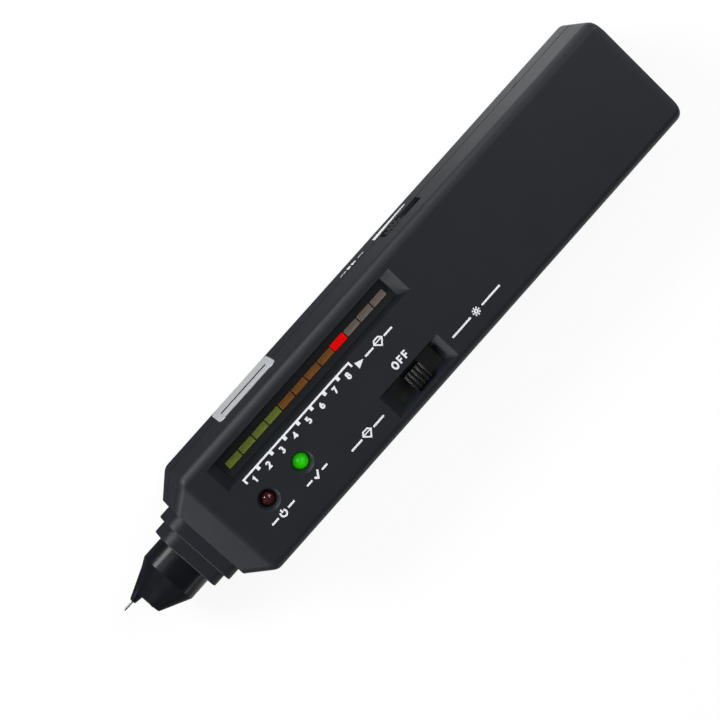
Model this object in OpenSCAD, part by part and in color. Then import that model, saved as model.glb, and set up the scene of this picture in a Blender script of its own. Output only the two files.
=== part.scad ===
// Hand-held diamond tester: a two-part case with a sprung probe, a row of
// indicator segments, a three-way slide switch and a thumbwheel.
// It lies on its back, nose to -X, front face to +Z, thumbwheel side to +Y.

/* [Case] */
// Length of the front face, from its nose edge to the tail
body_len = 147; // [136:1:160]
// Wall thickness of the shells
wall = 2; // [1.8:0.1:2.4]
// Rounding of the long edges
edge_r = 2.5; // [1.5:0.25:2.75]
// Rounding of the tail corners in plan
tail_r = 2.2; // [1:0.1:3]
// Softening of the tail end's outline
tail_soft = 0.4; // [0.1:0.1:0.8]
// Height and depth of the groove along the parting line
seam = 0.5; // [0.2:0.05:0.6]
// Height of the lip that lines up the shells
lip_h = 1.2; // [0.8:0.1:1.6]
// Depth of the lip's root below the parting line
lip_root = 2; // [1.5:0.1:3]
// Gap between the lip and the plates or the wheel
lip_gap = 2; // [1.5:0.1:4]
// Distance of the pry notch from the tail
pry_s = 20.6; // [15:0.1:25]
// Length of the pry notch
pry_len = 2; // [1.5:0.1:4]
// Height of the pry notch
pry_h = 0.9; // [0.6:0.1:1.2]
// Depth of the pry notch
pry_deep = 0.6; // [0.4:0.1:1]

/* [Nose] */
// Length of the tapered nose
nose_len = 6.3; // [5:0.1:8]
// Width of the nose end
nose_w = 23.2; // [22:0.2:26]
// Drop of the front face over the nose
nose_drop = 3.5; // [2.5:0.1:4]
// Rise of the back over the nose
nose_rise = 1.1; // [0.5:0.1:2]
// Rounding of the nose end's corners
nose_r = 2.2; // [1:0.1:3]
// Half length of the soft edge between face and nose
nose_soft = 1; // [0.4:0.1:2]

/* [Collar] */
// Length of each collar step
step_len = 3.4; // [2.5:0.1:5]
// Width of the large step
big_w = 20.3; // [19.5:0.1:22]
// Height of the large step
big_h = 16.8; // [16.4:0.1:17]
// Width of the small step
small_w = 17.3; // [16.5:0.1:19]
// Height of the small step
small_h = 16; // [15.6:0.1:16.4]
// Corner rounding of both steps
step_r = 3; // [2:0.1:4]
// Softened edge of both steps
step_soft = 0.4; // [0.2:0.1:0.8]
// Width of the neck held by the shells
neck_w = 16; // [14:0.2:17]
// Height of the neck
neck_h = 13; // [12.4:0.1:13.6]
// Corner rounding of the neck and its flange
neck_r = 1; // [0.6:0.1:2]
// How far the flange stands out around the neck
flange_rim = 1.1; // [0.8:0.1:1.3]
// Thickness of the flange
flange_t = 1.5; // [1:0.1:2]

/* [Nozzle] */
// Diameter of the nozzle
nozzle_d = 15.2; // [14.6:0.1:15.6]
// Length of its straight part
nozzle_len = 5.9; // [4:0.1:8]
// Length of its cone
cone_len = 7.5; // [6:0.1:9]
// Diameter of the flat end
cone_end_d = 7.8; // [7.6:0.1:9]
// Length of the stub around the needle
stub_len = 2.3; // [1.5:0.1:3]
// Diameter of the stub at its foot
stub_d = 2.9; // [2.4:0.1:3.2]
// Diameter of the stub at its tip
stub_tip_d = 1.6; // [1.4:0.1:2]
// Depth of the stub's root under the nozzle's shoulder
stub_root = 0.15; // [0.1:0.05:0.3]
// Diameter of the spigot in the collar
spigot_d = 10.4; // [10:0.1:10.8]
// Thickness of the nozzle before the guide tube
nozzle_face = 4.1; // [3.8:0.1:4.4]
// Softened edges of the nozzle
nozzle_soft = 0.35; // [0.1:0.05:0.6]

/* [Probe] */
// Distance of the needle from the nozzle's middle
probe_y = 2.6; // [2.4:0.1:2.8]
// Needle diameter
needle_d = 0.6; // [0.5:0.05:0.8]
// How far the needle stands out of the stub
needle_out = 3; // [2.5:0.1:4]
// How far the needle can be pushed in
probe_travel = 2; // [1:0.25:2.25]
// Outer diameter of the guide tube
guide_d = 3.8; // [3.6:0.1:3.9]
// Bore of the guide tube
guide_bore = 2.6; // [2.4:0.1:2.8]
// Length of the plunger
plunger_len = 6; // [5:0.5:7]
// How deep the needle sits in the plunger
needle_seat = 3; // [2:0.5:4]
// Length of the guide plug
plug_len = 2; // [1.5:0.25:3]
// Wire of the probe spring
spring_wire = 0.35; // [0.3:0.05:0.4]
// Turns of the probe spring
spring_turns = 8; // [5:1:9]
// Length left of the spring when the needle is pushed in fully
spring_spare = 4.2; // [3:0.1:4.4]

/* [Ultraviolet lamp] */
// Diameter of the lamp
uv_d = 3; // [2.8:0.1:3.2]
// Diameter of its flange
uv_flange_d = 3.6; // [3.4:0.1:3.8]
// Thickness of its flange
uv_flange_t = 0.9; // [0.6:0.1:1.2]
// Straight length of the lamp
uv_len = 3.3; // [3:0.1:3.6]
// Distance of the lamp from the nozzle's middle
uv_y = 1.7; // [1.6:0.1:1.8]
// How far its dome stands out of the flat end
uv_out = 0.3; // [0.1:0.1:0.6]

/* [Display] */
// Distance of the display pocket from the face's nose edge
display_s = 5.8; // [5:0.1:7]
// Length of the pocket at the face
display_len = 64.1; // [63:0.1:70]
// Width of the pocket at the face
display_w = 7.4; // [7:0.1:8]
// Distance of the pocket's middle from the case's side
display_edge = 7.3; // [7:0.1:7.9]
// Depth of the pocket
display_depth = 3.3; // [2.8:0.1:3.4]
// Run of the pocket's sloped ends
display_end = 2.8; // [1.5:0.1:3]
// Run of the pocket's sloped sides
display_side = 0.75; // [0.4:0.05:1]
// Number of segments in one colour
seg_group = 4; // [3:1:4]
// Gap between the row of segments and the pocket's ends
seg_margin = 1.44; // [1:0.02:2]
// Width of a segment
seg_w = 1.85; // [1.5:0.05:2.4]
// Gap between segments
seg_gap = 0.3; // [0.3:0.02:0.5]
// How far the segments stand above the bezel
seg_out = 0.1; // [0:0.05:0.3]
// Thickness of the bezel strip
bezel_t = 1; // [0.8:0.1:1.2]

/* [Lamps] */
// Diameter of the power and ready lamps
lamp_d = 3.8; // [3:0.1:4.4]
// Diameter of a lamp's flange
lamp_flange_d = 4.6; // [4.6:0.1:5.2]
// Thickness of a lamp's flange
lamp_flange_t = 1; // [0.6:0.1:1.4]
// Diameter of the countersink at the face
lamp_sink_d = 5.8; // [5.4:0.1:6.4]
// Depth of the countersink
lamp_sink = 1.3; // [0.8:0.1:1.6]
// How far a lamp's dome stays below the face
lamp_below = 0.3; // [0:0.1:0.8]
// Distance of the power lamp from the face's nose edge
power_s = 10.8; // [10:0.1:13]
// Distance of the ready lamp from the face's nose edge
ready_s = 22.55; // [19:0.05:28]
// Distance of both lamps below the centre line
lamp_y = 2.8; // [2:0.1:4]

/* [Switch] */
// Distance of the switch from the face's nose edge
switch_s = 56.2; // [54:0.1:60]
// Distance of the switch from the case's side
switch_edge = 6.2; // [6:0.1:6.7]
// Length of the switch pocket at the face
switch_len = 20.5; // [19:0.1:22]
// Width of the switch pocket at the face
switch_w = 7.6; // [7:0.1:8]
// Depth of the switch pocket
switch_depth = 3; // [2.6:0.1:3.2]
// Run of the pocket's sloped ends
switch_end = 2.7; // [1.5:0.1:2.9]
// Run of the pocket's sloped sides
switch_side = 1.05; // [0.5:0.05:1.2]
// Travel of the knob to each side
switch_travel = 4; // [3:0.25:4.5]
// Length of the knob
knob_len = 5.3; // [4.5:0.1:6]
// Width of the knob
knob_w = 4.8; // [4:0.1:5]
// How far the knob stays below the face
knob_below = 0.6; // [0.2:0.1:1]
// Number of ribs on the knob
knob_ribs = 5; // [3:1:6]
// Depth of the grooves between the ribs
knob_groove = 0.8; // [0.4:0.1:1]
// Thickness of the dust plate under the knob
shutter_t = 0.8; // [0.6:0.1:0.9]
// Thickness of the panel around the knob's opening
switch_lip = 0.3; // [0.2:0.05:0.4]
// Length of the drive peg under the dust plate
peg_len = 3; // [2:0.25:4]
// Width of the drive peg
peg_w = 2.4; // [2:0.1:3]
// How deep the peg reaches into the switch body
peg_deep = 1.1; // [0.8:0.1:1.4]

/* [Thumbwheel] */
// Distance of the wheel's axle from the rear case screws
wheel_s = 11.3; // [11:0.1:12]
// How far the wheel stays above the parting line
wheel_lift = 0.8; // [0.6:0.1:1.2]
// Diameter of the wheel
wheel_d = 16; // [14:0.5:17]
// Thickness of the wheel
wheel_t = 3.2; // [2.6:0.1:3.4]
// How far the rim stands out of the side
wheel_out = 0.3; // [0:0.1:0.8]
// Number of serrations
wheel_teeth = 40; // [24:2:60]
// Depth of the serrations
tooth_depth = 0.45; // [0.2:0.05:0.6]
// Length of the notch in the side
notch_len = 13; // [12:0.5:15]
// Shift of the notch from the axle towards the tail
notch_shift = 2.8; // [0:0.1:3]
// Height of the notch above the parting line
notch_h = 5.4; // [5.2:0.1:6]
// Diameter of the wheel's axle
axle_d = 3; // [2.5:0.1:4]
// Diameter of the potentiometer
pot_d = 10.5; // [9:0.5:10.5]
// Thickness of the potentiometer
pot_t = 1.6; // [1.4:0.1:1.8]

/* [Touch plates] */
// Distance of the plates from the face's nose edge
plate_s = 16.7; // [15:0.1:20]
// Length of a plate
plate_len = 19.6; // [16:0.1:24]
// Height of a plate
plate_h = 13.3; // [12:0.1:16]
// Height of a plate's lower edge above the back
plate_z = 2.9; // [2.8:0.1:3.4]
// Corner rounding of a plate
plate_r = 2; // [1:0.1:3]
// Depth of the seat in the shells
plate_seat = 0.5; // [0.3:0.05:0.7]
// How far a plate's edge stands out of the side
plate_out = 0.15; // [0.05:0.05:0.3]
// Extra crown of a plate at the parting line
plate_crown = 0.2; // [0:0.05:0.4]
// Height of a plate's fold above the parting line
fold_up = 0.7; // [0.5:0.1:2]
// Depth of the fold
fold_deep = 0.3; // [0.15:0.05:0.35]
// Height of the band above the fold
fold_h = 3.2; // [2:0.1:4]
// Inward lean of the band over its height
fold_lean = 0.15; // [0.05:0.05:0.2]
// Length of a plate's full-height ends beside the band
fold_end = 1.8; // [1.2:0.1:3]
// Length of the tab that holds a plate
tab_len = 6; // [4:0.5:8]
// Thickness of the tab
tab_t = 0.8; // [0.5:0.1:1]
// How far the tab reaches inside the wall
tab_in = 1.6; // [1:0.1:2]
// Distance of a plate's lead from the tab
plate_lead_run = 1.6; // [1.2:0.1:2]

/* [Board] */
// Thickness of the circuit board
board_t = 1.6; // [1:0.1:1.8]
// Distance of the board from the face's nose edge
board_s = 8.2; // [8.2:0.1:8.6]
// Gap between the board and the side walls
board_gap = 0.6; // [0.4:0.1:1]
// Height of the board's top below the face
board_deep = 6.8; // [6.6:0.1:7]
// Distance of the nose post from the board's nose edge
post_nose_s = 7.4; // [6:0.1:9]
// Distance of the middle post from the board's nose edge
post_mid_s = 27.4; // [26:0.1:28.5]
// Distance of the tail posts from the board's tail edge
post_tail_s = 2.6; // [2.4:0.1:2.8]
// Distance of the inner tail post from the centre line
post_in_y = 1; // [0.5:0.1:1.5]
// Distance of the posts from the board's long edges
post_edge = 2.3; // [2.2:0.1:2.6]
// Distance of the buzzer from the board's nose edge
buzzer_s = 38; // [37.5:0.5:39]
// Distance of the buzzer below the centre line
buzzer_y = 6; // [5.6:0.1:7]
// Diameter of the buzzer
buzzer_d = 12; // [9:0.5:12]
// Height of the buzzer
buzzer_h = 5.5; // [4:0.5:6]
// Width of a chip
chip_w = 6.4; // [6:0.1:7]
// Height of a chip
chip_h = 3.3; // [2.5:0.1:3.5]
// Pitch of a chip's legs
chip_pitch = 2.54; // [2.5:0.02:2.6]
// Length of a chip's legs under the board
chip_leg = 0.6; // [0.4:0.1:1]
// Width of a chip's leg
leg_w = 0.6; // [0.4:0.1:0.8]
// How far a chip's leg stands out of its side
leg_out = 0.7; // [0.5:0.1:0.9]
// Leg pairs of the display driver
driver_pairs = 9; // [7:1:9]
// Distance of the display driver from the board's nose edge
driver_s = 20; // [19:0.5:21]
// Leg pairs of the amplifier
amp_pairs = 4; // [4:1:7]
// Distance of the amplifier from the board's nose edge
amp_s = 44; // [43:0.5:46]
// Distance of both chips from the centre line
chip_y = 5; // [4.5:0.1:5.5]
// Distance of the capacitors from the board's nose edge
cap_s = 50; // [49.5:0.5:52]
// Distance of the outer capacitor below the centre line
cap_y = 9; // [8.5:0.1:9.5]
// Distance between the capacitors
cap_pitch = 7; // [6.5:0.1:7.5]
// Diameter of the capacitors
cap_d = 5; // [4:0.5:6]
// Length of the capacitors
cap_h = 7; // [5:0.5:8]

/* [Battery] */
// Length of the battery without its terminals
battery_len = 46.4; // [46:0.1:46.6]
// Width of the battery
battery_w = 26.4; // [26:0.1:26.6]
// Thickness of the battery
battery_t = 17.4; // [17:0.1:17.6]
// Room on each side of the battery
battery_side = 1.3; // [1.1:0.1:2]
// Room above the battery
battery_over = 2.3; // [2:0.1:3]
// Corner rounding of the battery
battery_r = 1.8; // [1:0.1:2.5]
// Height of its terminals
stud_h = 2.1; // [1.8:0.1:2.2]
// Diameter of the plain terminal
stud_d = 5.7; // [5.5:0.1:6]
// Diameter of the crown terminal
crown_d = 8.2; // [8:0.1:8.6]
// Distance between the terminals
stud_pitch = 12.7; // [12.5:0.1:12.9]
// Length of the snap
snap_len = 25; // [23:0.5:26]
// Width of the snap
snap_w = 11; // [10:0.5:13]
// Thickness of the snap's plate
snap_t = 1.3; // [1:0.1:1.5]
// Diameter of the battery leads
lead_d = 1.4; // [1:0.1:1.6]
// Diameter of the thin leads
thin_lead_d = 0.8; // [0.6:0.1:1]
// Distance of the battery leads' joints from the board's tail edge
lead_in = 7; // [5:0.5:9]
// Distance of the thin leads' joints from the board's nose edge
thin_lead_in = 3; // [2:0.1:4]
// Distance of the two leads of a pair, in lead diameters from their middle
lead_part = 0.75; // [0.7:0.05:0.9]
// Length over which a lead turns up to the board
lead_rise = 3; // [2:0.1:4]

/* [Battery door] */
// Thickness of the door
door_t = 1.8; // [1.6:0.1:1.9]
// Gap between the battery snap and the door's inner end
door_gap = 0.3; // [0.2:0.1:0.5]
// How much wider the door is than the battery
door_more = 0.4; // [0.3:0.1:0.6]
// How far the door's tongues reach into the case
tongue = 1; // [0.7:0.05:1]
// Thickness of the tongues
tongue_t = 0.5; // [0.4:0.05:0.6]
// Height of the tongues above the back
tongue_z = 0.75; // [0.7:0.05:0.8]
// Number of grip grooves
grip_n = 6; // [4:1:9]
// Width of a grip groove
grip_w = 1.2; // [1:0.1:1.6]
// Depth of a grip groove
grip_deep = 0.5; // [0.3:0.05:0.5]
// Length of a grip groove
grip_len = 14; // [10:1:20]

/* [Screws] */
// Diameter of the case screws
screw_d = 2.2; // [2:0.1:2.4]
// Diameter of a case screw's head
screw_head_d = 4; // [3.6:0.1:4.2]
// Height of a case screw's head
screw_head_h = 1.5; // [1.2:0.1:1.8]
// Reach of a case screw above the parting line
screw_reach = 6; // [4:0.5:8]
// How deep the head sits in the back
screw_sunk = 1.6; // [1:0.1:2.5]
// Diameter of the screw bosses
boss_d = 5.8; // [5.7:0.1:6]
// Distance of the nose screws from the face's nose edge
nose_screw_s = 4.4; // [4.3:0.05:4.5]
// Distance of the rear screws from the battery door
rear_screw_s = 3.6; // [3.3:0.1:4]
// Distance of all case screws from the case's sides
screw_edge = 4.8; // [4.7:0.05:4.85]
// Diameter of the board screws
small_screw_d = 1.8; // [1.6:0.1:2]
// Diameter of a board screw's head
small_head_d = 3.4; // [3:0.1:3.6]
// Height of a board screw's head
small_head_h = 1.1; // [0.8:0.1:1.4]
// Reach of a board screw above the board
small_reach = 3; // [2:0.5:4]
// Diameter of the board posts
post_d = 4; // [3.8:0.1:4.2]

/* [Clearances] */
// Radial clearance of parts that slide or turn
running = 0.05; // [0.02:0.01:0.1]
// Clearance of parts that are laid into a seat
seat = 0.1; // [0.05:0.05:0.15]
// Clearance of parts that pass each other
pass = 0.25; // [0.2:0.05:0.35]

/* [Hidden] */

$fn = 48;
arc_n = 6;
round_n = 48;
far = 400;
over = 1;

charcoal = "#2f3236";
gloss_black = "#141518";
board_green = "#1d5b35";
steel = "#b9bcc0";

// Outside of the case, from the battery that it holds
body_w = battery_w + 2 * (battery_side + wall);
body_t = door_t + 2 * pass + battery_t + battery_over + wall;

// Stations along the tester, from the tail to the needle's tip
total_len = body_len + nose_len + 2 * step_len + nozzle_len + cone_len + stub_len + needle_out;
x_tail = total_len / 2;
x_face = x_tail - body_len;
x_nose = x_face - nose_len;
x_big = x_nose - step_len;
x_small = x_big - step_len;
x_cone = x_small - nozzle_len;
x_end = x_cone - cone_len;
x_stub = x_end - stub_len;
x_tip = x_stub - needle_out;

half_w = body_w / 2;
axis_z = body_t / 2;
in_y = half_w - wall;
in_top = body_t - wall;
x_in = x_face + wall;
x_in_tail = x_tail - wall;

// Battery room
x_batt_end = x_in_tail - 2 * pass;
x_batt = x_batt_end - battery_len;
batt_z = door_t + 2 * pass;
batt_mid = batt_z + battery_t / 2;
x_snap = x_batt - stud_h - snap_t;
x_door = x_snap - door_gap;
door_len = x_tail - x_door;
door_w = battery_w + door_more;

// Nose room that holds the collar's flange
flange_w = neck_w + 2 * flange_rim;
flange_h = neck_h + 2 * flange_rim;
x_wall = x_nose + wall;
x_flange = x_wall + flange_t;

// Probe stack inside the nozzle
x_guide = x_end + nozzle_face;
x_plunger = x_guide + seat;
x_spring = x_plunger + plunger_len;
x_plug = x_spring + (spring_turns + 1) * spring_wire + probe_travel + spring_spare;
x_guide_end = x_plug + plug_len;
spring_d = guide_bore - 4 * running - spring_wire;
x_uv = x_end - uv_out + uv_d / 2 + uv_len;
spigot_len = 2 * step_len - pass;

// Display pocket and its segments
x_disp = x_face + display_s;
display_y = half_w - display_edge;
disp_floor = body_t - display_depth;
disp_rim = 0.4;
disp_under = disp_floor - disp_rim;
floor_len = display_len - 2 * display_end;
floor_w = display_w - 2 * display_side;
seg_n = 3 * seg_group;
seg_pitch = (floor_len - 2 * seg_margin + seg_gap) / seg_n;
seg_len = seg_pitch - seg_gap;
x_seg = x_disp + display_end + seg_margin;
tub_wall = 1.2;
bezel_rim = 1.1;

// Board levels
board_top = body_t - board_deep;
board_low = board_top - board_t;
x_board = x_face + board_s;
board_w = 2 * (in_y - board_gap);
x_rear_screw = x_door - rear_screw_s;
x_board_end = x_rear_screw - boss_d / 2 - pass;

// Switch stack
x_switch = x_face + switch_s;
switch_y = half_w - switch_edge;
switch_under = body_t - switch_depth - switch_lip;
opening_len = switch_len - 2 * switch_end;
opening_w = switch_w - 2 * switch_side;
shutter_top = switch_under - pass;
shutter_low = shutter_top - shutter_t;
shutter_len = opening_len + 2 * switch_travel + 2 * pass;
shutter_w = opening_w + 6 * pass;
switch_top = shutter_low - pass;
track_len = peg_len + 2 * switch_travel + 2 * pass;

// Wheel stack, which hangs under the board
x_wheel = x_rear_screw - wheel_s;
wheel_y = half_w + wheel_out - wheel_d / 2;
pot_low = board_low - pot_t;
wheel_top = pot_low - pass;
wheel_low = wheel_top - wheel_t;
axle_top = board_low - pass;

// Parting line of the shells
split_z = wheel_low - wheel_lift;

// Outline of one serration: part of the pitch, part of the depth
tooth = [[0, 0], [0.3, 1], [0.5, 1], [0.8, 0]];

// Touch plates, trapped between the shells
x_plate = x_face + plate_s;
plate_back = half_w - plate_seat;

// Screws: [x, y] of each
screw_y = half_w - screw_edge;
case_spots = [for (x = [x_face + nose_screw_s, x_rear_screw], side = [-1, 1]) [x, side * screw_y]];
post_y = board_w / 2 - post_edge;
board_spots = [
  [x_board + post_nose_s, -post_y],
  [x_board + post_mid_s, -post_y],
  [x_board_end - post_tail_s, -post_y],
  [x_board_end - post_tail_s, post_in_y]
];

// Points of a quarter turn about a corner, in the Y-Z plane
function corner(y, z, r, a) =
  [for (i = [0 : arc_n]) [y + r * cos(a + 90 * i / arc_n), z + r * sin(a + 90 * i / arc_n)]];

// Rounded rectangle across X
function ring(x, y0, y1, z0, z1, r) =
  [for (p = concat(
     corner(y1 - r, z1 - r, r, 0), corner(y0 + r, z1 - r, r, 90),
     corner(y0 + r, z0 + r, r, 180), corner(y1 - r, z0 + r, r, 270)
   )) [x, p[0], p[1]]];

// Rounded rectangle across X, of a width and height about the probe's axis
function ring_at(x, w, h, r) = ring(x, -w / 2, w / 2, axis_z - h / 2, axis_z + h / 2, r);

// Round ring across X, at the probe's height
function round_ring(x, y, r) =
  [for (i = [0 : round_n - 1]) [x, y + r * cos(360 * i / round_n), axis_z + r * sin(360 * i / round_n)]];

// Skin through rings that follow each other along +X
module loft(rings) {
  n = len(rings[0]);
  last = len(rings) - 1;
  sides = [
    for (i = [0 : last - 1])
      for (j = [0 : n - 1])
        for (tri = [[0, n, n + 1], [0, n + 1, 1]])
          [for (k = tri) i * n + floor(k / n) * n + (j + k % n) % n]
  ];
  caps = [[for (j = [0 : n - 1]) j], [for (j = [0 : n - 1]) last * n + n - 1 - j]];
  polyhedron([for (r = rings) each r], concat(sides, caps), convexity = 4);
}

// How far a point before the face's nose edge has moved into the taper
function taper(d) =
  d <= -nose_soft ? -d : d >= nose_soft ? 0 : pow(nose_soft - d, 2) / (4 * nose_soft);

function case_ring(d, in) =
  let (k = taper(d) / nose_len, hw = half_w - k * (body_w - nose_w) / 2 - in)
  ring(
    x_face + d + (d <= -nose_len ? in : 0), -hw, hw,
    k * nose_rise + in, body_t - k * nose_drop - in, edge_r + k * (nose_r - edge_r) - in
  );

function tail_ring(a, in) =
  let (hw = half_w - tail_r * (1 - cos(a)) - in, soft = tail_soft * (1 - cos(a)))
  ring(x_tail - tail_r * (1 - sin(a)) - in, -hw, hw, soft + in, body_t - soft - in, edge_r - in);

// Whole outside of the case, or a copy that lies deeper
module case_block(in = 0) {
  loft(concat(
    [for (d = [-nose_len, -nose_soft, -nose_soft / 2, 0, nose_soft / 2, nose_soft]) case_ring(d, in)],
    [for (a = [0 : 18 : 90]) tail_ring(a, in)]
  ));
}

module case_room() {
  translate([x_in, -in_y, wall])
    cube([x_in_tail - x_in, 2 * in_y, in_top - wall]);
}

// Room for the collar's flange and the neck's way through the nose wall
module nose_room() {
  loft([for (x = [x_wall, x_in + over / 2]) ring_at(x, flange_w + 2 * pass, flange_h + 2 * seat, neck_r)]);
  loft([for (x = [x_nose - over, x_wall + over]) ring_at(x, neck_w + 2 * seat, neck_h + 2 * seat, neck_r)]);
}

module slab(z0, z1) {
  translate([-far / 2, -far / 2, z0])
    cube([far, far, z1 - z0]);
}

// Upright rod from one level to another
module rod(x, y, z0, z1, d) {
  translate([x, y, z0])
    cylinder(h = z1 - z0, d = d);
}

// Rod along X from one station to another
module x_rod(x0, x1, y, z, d) {
  translate([x0, y, z])
    rotate([0, 90, 0])
      cylinder(h = x1 - x0, d = d);
}

module box(x0, x1, y0, y1, z0, z1) {
  translate([x0, y0, z0])
    cube([x1 - x0, y1 - y0, z1 - z0]);
}

// Pocket with sloped walls in the front face
module pocket(x, y, len_, w, depth, end, side) {
  floor_z = body_t - depth;
  steep = over / depth;
  intersection() {
    translate([x, y + w, 0])
      rotate([90, 0, 0])
        linear_extrude(2 * w)
          polygon([
            [-len_ / 2 + end, floor_z], [len_ / 2 - end, floor_z],
            [len_ / 2 + end * steep, body_t + over], [-len_ / 2 - end * steep, body_t + over]
          ]);
    translate([x - len_, y, 0])
      rotate([90, 0, 90])
        linear_extrude(2 * len_)
          polygon([
            [-w / 2 + side, floor_z], [w / 2 - side, floor_z],
            [w / 2 + side * steep, body_t + over], [-w / 2 - side * steep, body_t + over]
          ]);
  }
}

module block_at(x, y, z0, z1, len_, w) {
  box(x - len_ / 2, x + len_ / 2, y - w / 2, y + w / 2, z0, z1);
}

// Seat and tab slot of the touch plates, on both sides
module plate_seats() {
  for (side = [0, 1])
    mirror([0, side, 0]) {
      translate([0, plate_back, 0])
        plate_outline(half_w - plate_back + over, seat);
      block_at(x_plate + plate_len / 2, in_y, split_z - tab_t / 2 - seat, split_z + tab_t / 2 + seat,
               tab_len + 2 * seat, 3 * wall);
    }
}

// Rounded plate outline in X-Z, standing up along +Y
module plate_outline(t, grow) {
  r = plate_r + grow;
  x0 = x_plate - grow;
  x1 = x_plate + plate_len + grow;
  z0 = plate_z - grow;
  z1 = plate_z + plate_h + grow;
  translate([0, t, 0])
    rotate([90, 0, 0])
      linear_extrude(t)
        union() {
          translate([x0 + r, z0]) square([x1 - x0 - 2 * r, z1 - z0]);
          translate([x0, z0 + r]) square([x1 - x0, z1 - z0 - 2 * r]);
          for (x = [x0 + r, x1 - r], z = [z0 + r, z1 - r])
            translate([x, z]) circle(r);
        }
}

module front_shell() {
  x_mid = x_disp + display_len / 2;
  rib_y = battery_w / 4;
  tub = tub_wall + bezel_rim;
  color(charcoal)
    difference() {
      union() {
        difference() {
          case_block();
          slab(-far, split_z);
          case_room();
        }
        // Tubs around the display and the switch, which run into the side walls
        box(x_mid - floor_len / 2 - tub, x_mid + floor_len / 2 + tub,
            display_y - floor_w / 2 - tub, in_y + over / 2, disp_under, in_top + over / 2);
        box(x_switch - switch_len / 2, x_switch + switch_len / 2,
            -in_y - over / 2, opening_w / 2 + tub_wall - switch_y, switch_under, in_top + over / 2);
        for (p = case_spots)
          rod(p[0], p[1], split_z, in_top + over / 2, boss_d);
        for (p = board_spots)
          rod(p[0], p[1], board_top, in_top + over / 2, post_d);
        for (side = [-1, 1])
          block_at((x_batt + x_batt_end) / 2, side * rib_y, batt_z + battery_t,
                   in_top + over / 2, battery_len - 4 * wall, wall / 2);
      }
      nose_room();
      pocket(x_mid, display_y, display_len, display_w, display_depth, display_end, display_side);
      block_at(x_mid, display_y, disp_under - over, disp_floor + over / 2, floor_len, floor_w);
      pocket(x_switch, -switch_y, switch_len, switch_w, switch_depth, switch_end, switch_side);
      block_at(x_switch, -switch_y, switch_under - over, in_top, opening_len, opening_w);
      for (s = [power_s, ready_s]) {
        rod(x_face + s, -lamp_y, in_top - over, body_t + over, lamp_d + 2 * seat);
        translate([x_face + s, -lamp_y, body_t - lamp_sink])
          cylinder(h = lamp_sink, d1 = lamp_d + 2 * seat, d2 = lamp_sink_d);
      }
      block_at(x_wheel + notch_shift, half_w, split_z - over, split_z + notch_h, notch_len, 3 * wall);
      rod(x_wheel, wheel_y, split_z - over, wheel_top + pass, wheel_d + 4 * pass);
      plate_seats();
      for (p = case_spots)
        rod(p[0], p[1], split_z - over, split_z + screw_reach + over, screw_d + 2 * running);
      for (p = board_spots)
        rod(p[0], p[1], board_top - over, in_top - over / 2, small_screw_d + 2 * running);
    }
}

module rear_shell() {
  bar = wall / 2 + seat;
  door_y = door_w / 2 + pass;
  x_lip = x_plate + plate_len + lip_gap;
  lips = [[0, x_wheel - wheel_d / 2 - lip_gap], [1, x_wheel + wheel_d / 2 - lip_gap]];
  color(charcoal)
    difference() {
      union() {
        difference() {
          union() {
            intersection() {
              case_block();
              slab(-over, split_z - seam);
            }
            intersection() {
              case_block(seam);
              slab(wall, split_z);
            }
          }
          case_room();
        }
        for (p = case_spots)
          rod(p[0], p[1], wall / 2, split_z, boss_d);
        // Lip that lines up the shells
        for (l = lips)
          mirror([0, l[0], 0]) {
            box(x_lip, l[1], in_y - bar, in_y + seat, split_z - lip_root, split_z - seam);
            box(x_lip, l[1], in_y - bar, in_y - seat, split_z - seam, split_z + lip_h);
          }
        // Wall in front of the battery, and the post under the wheel
        block_at(x_rear_screw, 0, wall / 2, split_z - lip_root, wall / 2, 2 * in_y + wall / 2);
        rod(x_wheel, wheel_y, wall / 2, wheel_low - pass, axle_d + 2 * wall);
      }
      nose_room();
      plate_seats();
      box(x_tail - pry_s - pry_len, x_tail - pry_s, half_w - pry_deep, half_w + over,
          split_z - pry_h, split_z + over);
      box(x_door - pass, x_tail + over, -door_y, door_y, -over, wall + over);
      box(x_door - pass, x_tail + over, -door_y - tongue, door_y + tongue,
          tongue_z - seat, tongue_z + tongue_t + seat);
      for (p = case_spots) {
        rod(p[0], p[1], -over, screw_sunk + screw_head_h, screw_head_d + 2 * pass);
        rod(p[0], p[1], -over, split_z + over, screw_d + 2 * pass);
      }
    }
}

module battery_door() {
  y = door_w / 2;
  x_grip = x_door + door_len / 3;
  color(charcoal)
    difference() {
      union() {
        box(x_door, x_tail, -y, y, 0, door_t);
        box(x_door, x_tail, -y - tongue, y + tongue, tongue_z, tongue_z + tongue_t);
      }
      for (i = [0 : grip_n - 1])
        translate([x_grip + 2 * i * grip_w, -grip_len / 2, grip_deep - grip_w / 2])
          rotate([-90, 0, 0])
            cylinder(h = grip_len, d = grip_w);
    }
}

// Step of the collar with a rounded front edge
module step(x0, x1, w, h) {
  front = [
    for (a = [0 : 30 : 90])
      let (in = step_soft * (1 - sin(a)))
      ring_at(x0 + step_soft * (1 - cos(a)), w - 2 * in, h - 2 * in, step_r - in)
  ];
  loft(concat(front, [ring_at(x1, w, h, step_r)]));
}

module nose_collar() {
  color(charcoal)
    difference() {
      union() {
        step(x_small, x_big + over, small_w, small_h);
        step(x_big, x_nose, big_w, big_h);
        loft([for (x = [x_nose - over, x_wall + seat]) ring_at(x, neck_w, neck_h, neck_r)]);
        loft([for (x = [x_wall + seat, x_flange]) ring_at(x, flange_w, flange_h, neck_r)]);
      }
      x_rod(x_small - over, x_flange + over, 0, axis_z, spigot_d + 2 * running);
    }
}

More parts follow.
